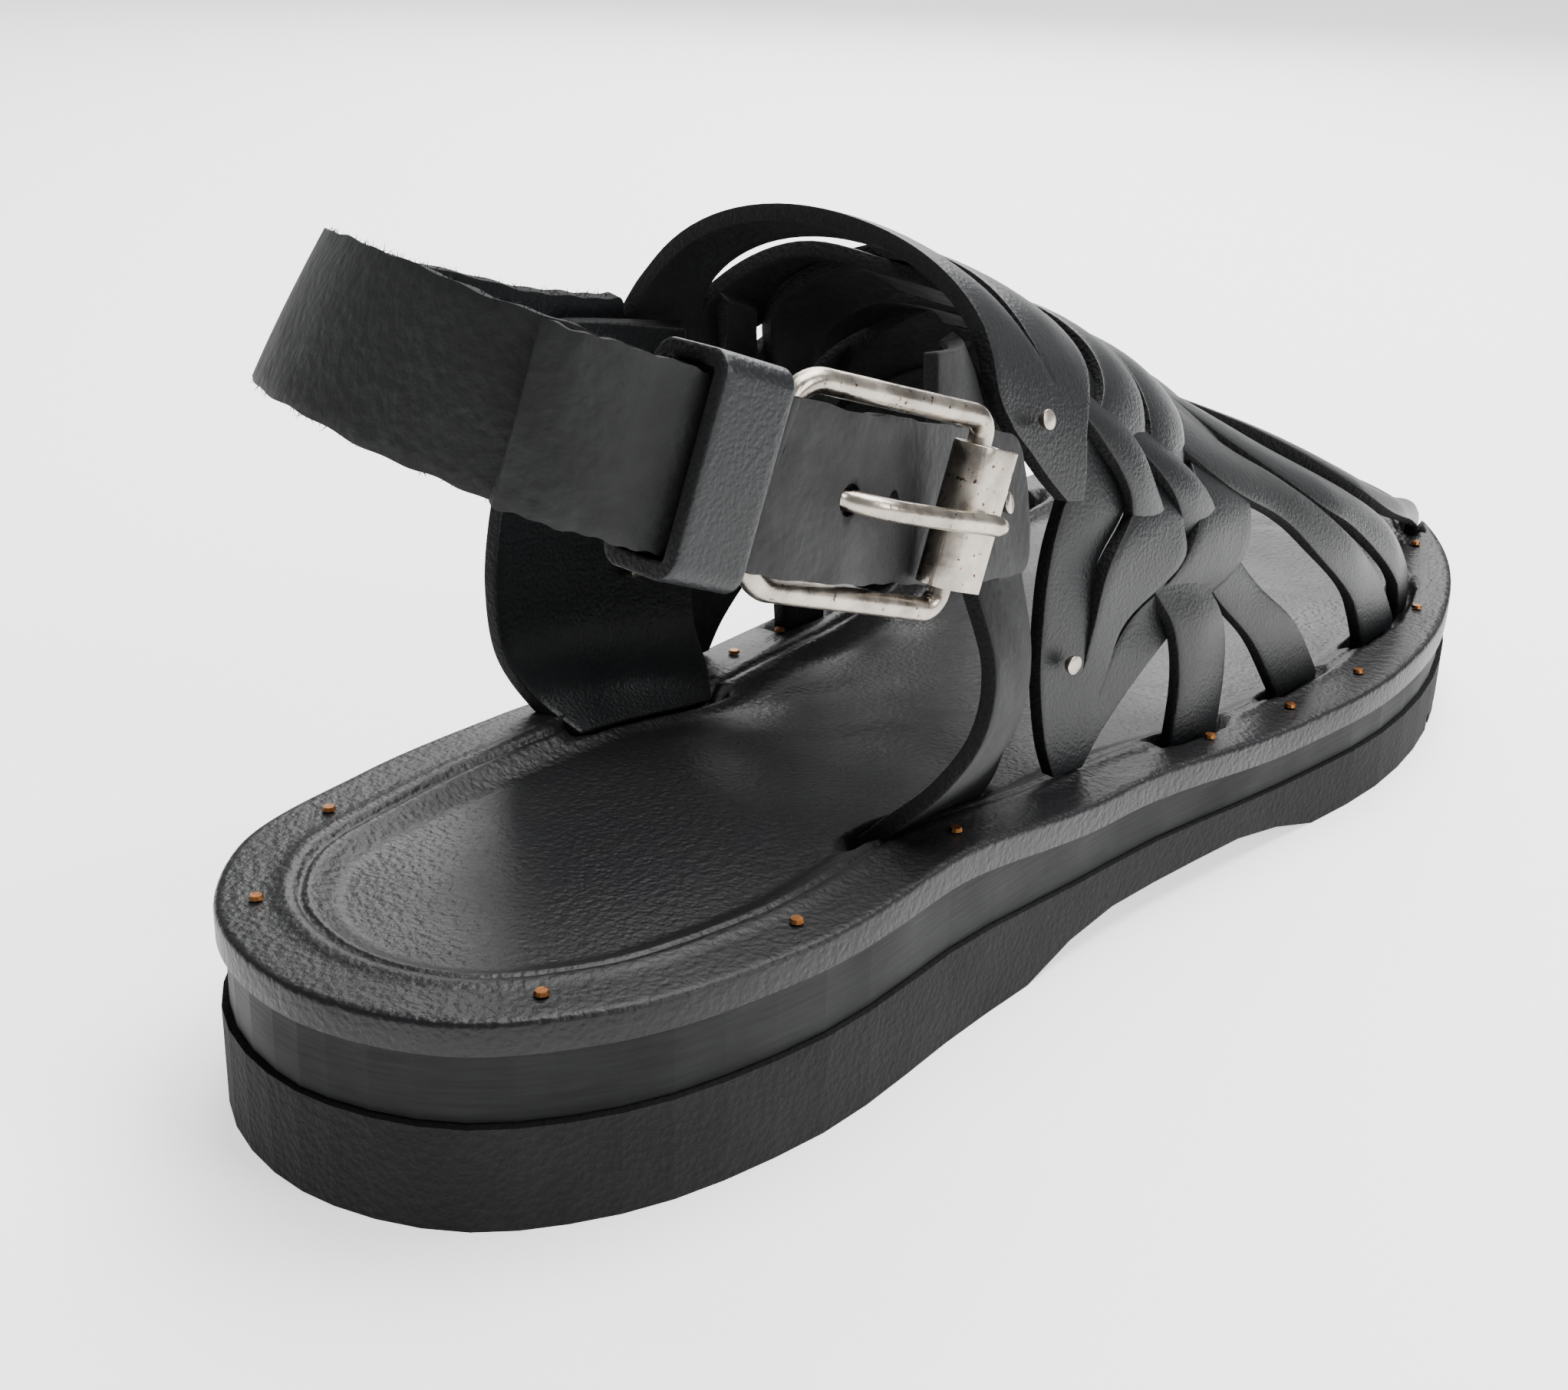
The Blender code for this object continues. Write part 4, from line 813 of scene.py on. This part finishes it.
# Straps along their middle line: place across as a share of the ball width, along as a share of
# the length, height over the rim as a share of the upper's rise, and lean in degrees
HEEL_STRAP = (
    (-0.3321, 0.3466, 0.7174, -5.0),
    (-0.3455, 0.3103, 0.7156, -5.0),
    (-0.3652, 0.2621, 0.7467, -5.0),
    (-0.3527, 0.1897, 0.8400, -6.0),
    (-0.2786, 0.1276, 0.9267, -18.0),
    (-0.1562, 0.0776, 0.9867, -30.0),
    (0.0179, 0.0386, 1.0200, -29.0),
    (0.1786, 0.0269, 1.0067, -17.0),
    (0.2857, 0.0397, 0.9667, -8.0),
    (0.3438, 0.0759, 0.9000, -3.0),
    (0.3643, 0.1172, 0.8400, 0.0),
)
BILLET = (
    (0.3991, 0.1552, 0.7867, 0.0),
    (0.3875, 0.1914, 0.7467, 0.0),
    (0.3696, 0.2293, 0.7000, 0.0),
    (0.3545, 0.2655, 0.6602, -6.0),
    (0.3300, 0.3103, 0.6263, -14.0),
    (0.3175, 0.3466, 0.6134, -14.0),
)
BUCKLE = (
    (0.3652, 0.1245, 0.8293, 0.0),
    (0.4196, 0.2303, 0.6960, 0.0),
)


def in_metres(rows):
    return [
        (x * BALL_WIDTH, y * SOLE_LENGTH, rim_height(y * SOLE_LENGTH) + rise * UPPER_RISE, lean)
        for x, y, rise, lean in rows
    ]


def strap_frame(rows, share):
    """Middle point, running, width and outward directions of a strap at a share of its run."""
    here = curve_through(rows, share)
    ahead = Vector(curve_through(rows, min(share + 0.004, 1.0))[:3])
    behind = Vector(curve_through(rows, max(share - 0.004, 0.0))[:3])
    run = (ahead - behind).normalized()
    out = run.cross(Vector((0, 0, 1))).normalized()
    lean = math.radians(here[3])
    width = Vector((0, 0, math.cos(lean))) + out * math.sin(lean)
    width = (width - run * width.dot(run)).normalized()
    return Vector(here[:3]), run, width, run.cross(width).normalized()


def strap_rows(rows, count, round_start, round_end):
    """Rows of points across a strap, with a slight crown and its corners rounded at the ends."""
    marks = [strap_frame(rows, i / 400)[0] for i in range(401)]
    length = sum((b - a).length for a, b in zip(marks, marks[1:]))
    shares = {i / count for i in range(count + 1)}
    for radius, start in ((round_start, 0.0), (round_end, 1.0)):
        if radius:
            shares.update(abs(start - part * radius / length) for part in (0.02, 0.08, 0.2, 0.4, 0.7))
    points = []
    for share in sorted(shares):
        point, run, width, out = strap_frame(rows, share)
        half = STRAP_WIDTH / 2
        for radius, gone in ((round_start, share * length), (round_end, (1 - share) * length)):
            if radius and gone < radius:
                half = STRAP_WIDTH / 2 - radius + math.sqrt(radius**2 - (radius - gone) ** 2)
        wear = EDGE_WEAR * math.sin(share * 41.0) * math.sin(share * 97.0)
        row = []
        for k in range(13):
            across = k / 6 - 1
            crown = STRAP_CROWN * (1 - across**2)
            row.append(point + width * (across * (half + wear)) + out * (crown - STRAP_CROWN / 2))
        points.append(row)
    return points


def strands(name, roots, finish):
    """Short leather fibres as tapered three-sided hairs, from roots of place, way and length."""
    verts, faces = [], []
    chance = random.Random(7)
    for place, way, length in roots:
        side = way.orthogonal().normalized()
        other = way.cross(side)
        bend = (side * chance.uniform(-1, 1) + other * chance.uniform(-1, 1)) * length * 0.5
        start = len(verts)
        for k in range(4):
            t = k / 3
            centre = place + way * length * t + bend * t**2 - MIDDLE
            radius = FIBRE_RADIUS * (1 - 0.8 * t)
            for turn in (0.0, 2.094, 4.189):
                verts.append(centre + (side * math.cos(turn) + other * math.sin(turn)) * radius)
        for k in range(3):
            for m in range(3):
                a = start + 3 * k + m
                b = start + 3 * k + (m + 1) % 3
                faces.append((a, b, b + 3, a + 3))
    mesh = bpy.data.meshes.new(name)
    mesh.from_pydata(verts, [], faces)
    return show(name, mesh, finish)


heel_rows = in_metres(HEEL_STRAP)
heel_sheet = open_sheet("heel", strap_rows(heel_rows, 220, TAB_CORNER, 0.0))
heel = show("heel_strap_leather", heel_sheet, strap_leather, cut_edge, flesh_side)
as_leather(heel, STRAP_LEATHER, RUBBED)
stand_for(heel, "heel_strap")

chance = random.Random(3)
fray = []
for i in range(FRAY_COUNT):
    share = chance.uniform(0.02, 0.92)
    point, run, width, out = strap_frame(heel_rows, share)
    edge = 1 if i % 2 else -1
    place = point + width * edge * (STRAP_WIDTH / 2 - 0.0002)
    place = place + out * chance.uniform(-0.0011, 0.0011)
    way = width * edge + run * chance.uniform(-1.4, 1.4) + out * chance.uniform(-0.5, 0.5)
    fray.append((place, way.normalized(), chance.uniform(0.0004, 0.0013)))
fibres = strands("heel_strap_fray", fray, cut_edge)
stand_for(fibres, "heel_strap")

billet_path = []
for i in range(8):
    share = BILLET_START + (1.0 - BILLET_START) * i / 7
    point, run, width, out = strap_frame(heel_rows, share)
    seat = point + out * (STRAP_LEATHER + 2 * GAP)
    billet_path.append((*seat, curve_through(heel_rows, share)[3]))
billet_path += in_metres(BILLET)
billet_sheet = open_sheet("billet", strap_rows(billet_path, 150, 0.0, TAB_CORNER))
billet = show("billet_leather", billet_sheet, strap_leather, cut_edge, flesh_side)
as_leather(billet, STRAP_LEATHER, RUBBED)
punches = bpy.data.meshes.new("punches")
punched = bmesh.new()
for index, radius in ((8, PRONG_HOLE_RADIUS), (9, HOLE_RADIUS)):
    point, run, width, out = strap_frame(billet_path, index / (len(billet_path) - 1))
    turned = Matrix((run, width, out)).transposed().to_4x4()
    bmesh.ops.create_cone(
        punched, cap_ends=True, segments=28, radius1=radius, radius2=radius, depth=0.010,
        matrix=Matrix.Translation(point - MIDDLE) @ turned,
    )
punched.to_mesh(punches)
punched.free()
tool = bpy.data.objects.new("punch", punches)
bpy.context.scene.collection.objects.link(tool)
carve = billet.modifiers.new("punched_holes", "BOOLEAN")
carve.operation = "DIFFERENCE"
carve.object = tool
graph = bpy.context.evaluated_depsgraph_get()
billet.data = bpy.data.meshes.new_from_object(billet.evaluated_get(graph))
billet.modifiers.clear()
bpy.data.objects.remove(tool)
stand_for(billet, "billet_strap")

point, run, width, out = strap_frame(heel_rows, KEEPER_PLACE)
skin = 2 * GAP + KEEPER_LEATHER / 2
low = -STRAP_LEATHER / 2 - 2 * GAP - skin
high = STRAP_LEATHER * 1.5 + 3 * GAP + skin
half = STRAP_WIDTH / 2 + skin
rows = []
for i, (u, v) in enumerate(((high, half), (low, half), (low, -half), (high, -half))):
    flat = u - math.copysign(KEEPER_CORNER, u)
    centre = point + out * flat + width * (v - math.copysign(KEEPER_CORNER, v))
    for k in range(9):
        angle = math.radians(90 * i + 90 / 8 * k)
        spot = centre + (out * math.cos(angle) + width * math.sin(angle)) * KEEPER_CORNER
        rows.append([spot + run * KEEPER_WIDTH * (m / 8 - 0.5) for m in range(9)])
keeper_sheet = open_sheet("keeper", rows, closed=True)
keeper = show("keeper_leather", keeper_sheet, strap_leather, cut_edge, flesh_side)
as_leather(keeper, KEEPER_LEATHER, RUBBED)
stand_for(keeper, "keeper_loop")

# Buckle: nickel-plated iron wire bent to a frame, a roller rolled from sheet and a wire prong. The
# plating has worn to a warm grey, with pin pits of rust and fine scratches.
BUCKLE_SLOT = 0.0208
ROLLER_LENGTH = 0.0175
HINGE_CORNER = 0.0050
FRONT_CORNER = 0.0024
ROLLER_RADIUS = 0.0030
ROLLER_SHEET = 0.0007
ROLLER_PLATE = 0.0040


def worn_plating(name, dark, light, rust, pit_mm, gloss):
    """Plated metal: slow changes of tone and gloss, rust pits and fine scratches."""
    made, tree, shader = new_material(name)
    place = add(tree, "ShaderNodeTexCoord").outputs["Object"]
    tone = add(tree, "ShaderNodeTexNoise", [("Vector", place), ("Scale", 240.0), ("Detail", 5.0)])
    pits = add(tree, "ShaderNodeTexNoise", [("Vector", place), ("Scale", 1000 / pit_mm), ("Detail", 3.0)])
    turned = add(tree, "ShaderNodeMapping", [
        ("Vector", place), ("Rotation", (0.5, 0.3, 0.7)), ("Scale", (4000.0, 300.0, 300.0)),
    ])
    scratches = add(tree, "ShaderNodeTexNoise", [
        ("Vector", turned.outputs["Vector"]), ("Scale", 1.0), ("Detail", 2.0),
    ])
    metal = add(tree, "ShaderNodeValToRGB", [("Fac", tone.outputs["Fac"])])
    metal.color_ramp.elements[0].position = 0.35
    metal.color_ramp.elements[0].color = colour(dark)
    metal.color_ramp.elements[1].position = 0.65
    metal.color_ramp.elements[1].color = colour(light)
    spots = add(tree, "ShaderNodeValToRGB", [("Fac", pits.outputs["Fac"])])
    spots.color_ramp.elements[0].position = 0.64
    spots.color_ramp.elements[1].position = 0.71
    mixed = add(tree, "ShaderNodeMix", [
        (0, spots.outputs["Color"]), (6, metal.outputs["Color"]), (7, colour(rust)),
    ], data_type="RGBA")
    shine = add(tree, "ShaderNodeMapRange", [
        ("Value", tone.outputs["Fac"]), ("From Min", 0.3), ("From Max", 0.7),
        ("To Min", gloss - 0.06), ("To Max", gloss + 0.10),
    ])
    rough = add(tree, "ShaderNodeMath", [
        (0, scratches.outputs["Fac"]), (1, pits.outputs["Fac"]),
    ], operation="ADD")
    relief = add(tree, "ShaderNodeBump", [
        ("Height", rough.outputs[0]), ("Strength", 0.30), ("Distance", 0.0001),
    ])
    tree.links.new(mixed.outputs[2], shader.inputs["Base Color"])
    tree.links.new(shine.outputs["Result"], shader.inputs["Roughness"])
    tree.links.new(relief.outputs["Normal"], shader.inputs["Normal"])
    shader.inputs["Metallic"].default_value = 1.0
    return made


def wire(name, points, radii, closed, finish):
    """A round wire through points, each with its own radius."""
    curve = bpy.data.curves.new(name, "CURVE")
    curve.dimensions = "3D"
    curve.bevel_depth = 1.0
    curve.bevel_resolution = 6
    curve.use_fill_caps = not closed
    spline = curve.splines.new("POLY")
    spline.points.add(len(points) - 1)
    for spot, point, radius in zip(spline.points, points, radii):
        spot.co = (*(point - MIDDLE), 1.0)
        spot.radius = radius
    spline.use_cyclic_u = closed
    guide = bpy.data.objects.new(name, curve)
    bpy.context.scene.collection.objects.link(guide)
    bpy.context.view_layer.update()
    graph = bpy.context.evaluated_depsgraph_get()
    mesh = bpy.data.meshes.new_from_object(guide.evaluated_get(graph))
    bpy.data.objects.remove(guide)
    mesh.shade_smooth()
    mesh.materials.clear()
    return show(name, mesh, finish)


nickel = worn_plating("worn_nickel_plate", "#8E867C", "#B9B0A4", "#4A3626", 0.9, 0.27)
hinge, front = [Vector(row[:3]) for row in in_metres(BUCKLE)]
run = (front - hinge).normalized()
width = (Vector((0, 0, 1)) - run * run.z).normalized()
out = run.cross(width).normalized()
half = (BUCKLE_SLOT + BUCKLE_WIRE) / 2
reach = (front - hinge).length
points = []
for i, (along, side) in enumerate(((0.0, -1), (reach, -1), (reach, 1), (0.0, 1))):
    radius = FRONT_CORNER if along else HINGE_CORNER
    centre = hinge + run * (along - radius if along else radius) + width * side * (half - radius)
    for k in range(13):
        angle = math.radians(180 + 90 * i + 7.5 * k)
        points.append(centre + (run * math.cos(angle) + width * math.sin(angle)) * radius)
bent_wire = wire("buckle_wire", points, [BUCKLE_WIRE / 2] * len(points), True, nickel)
stand_for(bent_wire, "buckle_frame")

middle = ROLLER_RADIUS - ROLLER_SHEET / 2
line = []
for k in range(49):
    angle = math.radians(20 - 290 * k / 48)
    line.append(front + (run * math.cos(angle) + out * math.sin(angle)) * middle)
for k in range(1, 7):
    line.append(front + out * middle + run * ROLLER_PLATE * k / 6)
rows = [[point + width * ROLLER_LENGTH * (m / 6 - 0.5) for m in range(7)] for point in line]
roller = show("roller_sheet", open_sheet("roller", rows), nickel, nickel, nickel)
as_leather(roller, ROLLER_SHEET, 0.0001)
stand_for(roller, "buckle_roller")

clear = (BUCKLE_WIRE + PRONG_WIRE) / 2 + GAP
hole = Vector(in_metres(BILLET)[0][:3])
rest = front + out * (ROLLER_RADIUS + PRONG_WIRE / 2 + GAP)
knots = [
    hinge + run * (clear + 0.0002) - out * 0.0004,
    hinge + run * (clear + 0.0022) + out * 0.0012,
    hole + run * 0.0002,
    hole + run * 0.0040 + out * 0.0030,
    (hole + rest) / 2 + run * 0.0010 + out * 0.0024,
    rest,
    rest + run * 0.0030 - out * 0.0001,
]
path = [Vector(curve_through([tuple(knot) for knot in knots], i / 60)) for i in range(61)]
radii = [PRONG_WIRE / 2 * (1 - 0.25 * max(i / 60 - 0.9, 0.0) / 0.1) for i in range(61)]
stand_for(wire("prong_wire", path, radii, False, nickel), "buckle_prong")

# Rivets: two-part caps of plated iron, hammered to a low dome with a rolled rim. Tacks: small
# brass-headed nails through the footbed's rim, dulled to a copper brown.
TURN_STEPS = 48

# Profile of a cap from its crown to its rim: shares of the radius and of the height
DOME = (
    (0.180, 0.985), (0.360, 0.935), (0.540, 0.840), (0.700, 0.705), (0.830, 0.540),
    (0.920, 0.370), (0.975, 0.230), (1.000, 0.110), (0.990, 0.020), (0.960, 0.000),
)


def dome_on(node):
    """A finer cap in the place of a rivet's solid: on its flat underside, along its own axis."""
    spots = np.array([tuple(vert.co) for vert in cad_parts[node].data.vertices])
    middle = spots.mean(0)
    axis = np.linalg.svd(spots - middle, full_matrices=False)[2][2]
    rise = (spots - middle) @ axis
    if (rise > rise.max() - 0.0001).sum() > (rise < rise.min() + 0.0001).sum():
        axis = -axis
        rise = -rise
    flat = spots[rise < rise.min() + 0.0001]
    seat = Vector((flat.max(0) + flat.min(0)) / 2)
    upright = Vector(axis)
    radius = max((Vector(spot) - seat).length for spot in flat)
    side = upright.orthogonal().normalized()
    other = upright.cross(side)
    bm = bmesh.new()
    rings = []
    for share, lift in DOME:
        ring = []
        for k in range(TURN_STEPS):
            turn = 2 * math.pi * k / TURN_STEPS
            ring.append(bm.verts.new(
                seat + (side * math.cos(turn) + other * math.sin(turn)) * radius * share
                + upright * (rise.max() - rise.min()) * lift
            ))
        rings.append(ring)
    for a, b in zip(rings, rings[1:]):
        for k in range(TURN_STEPS):
            n = (k + 1) % TURN_STEPS
            bm.faces.new((a[k], b[k], b[n], a[n]))
    bm.faces.new(rings[0])
    bm.faces.new(rings[-1][::-1])
    bmesh.ops.recalc_face_normals(bm, faces=bm.faces)
    mesh = bpy.data.meshes.new(node + "_cap")
    bm.to_mesh(mesh)
    bm.free()
    mesh.shade_smooth()
    return show(node + "_cap", mesh, nickel)


tack_brass = worn_plating("dulled_tack_brass", "#6E4326", "#9A6638", "#2E1A10", 0.4, 0.38)
for node in sorted(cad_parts):
    if node.startswith("rivet"):
        stand_for(dome_on(node), node)
    if node.startswith("tack"):
        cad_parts[node].data.materials.clear()
        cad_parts[node].data.materials.append(tack_brass)
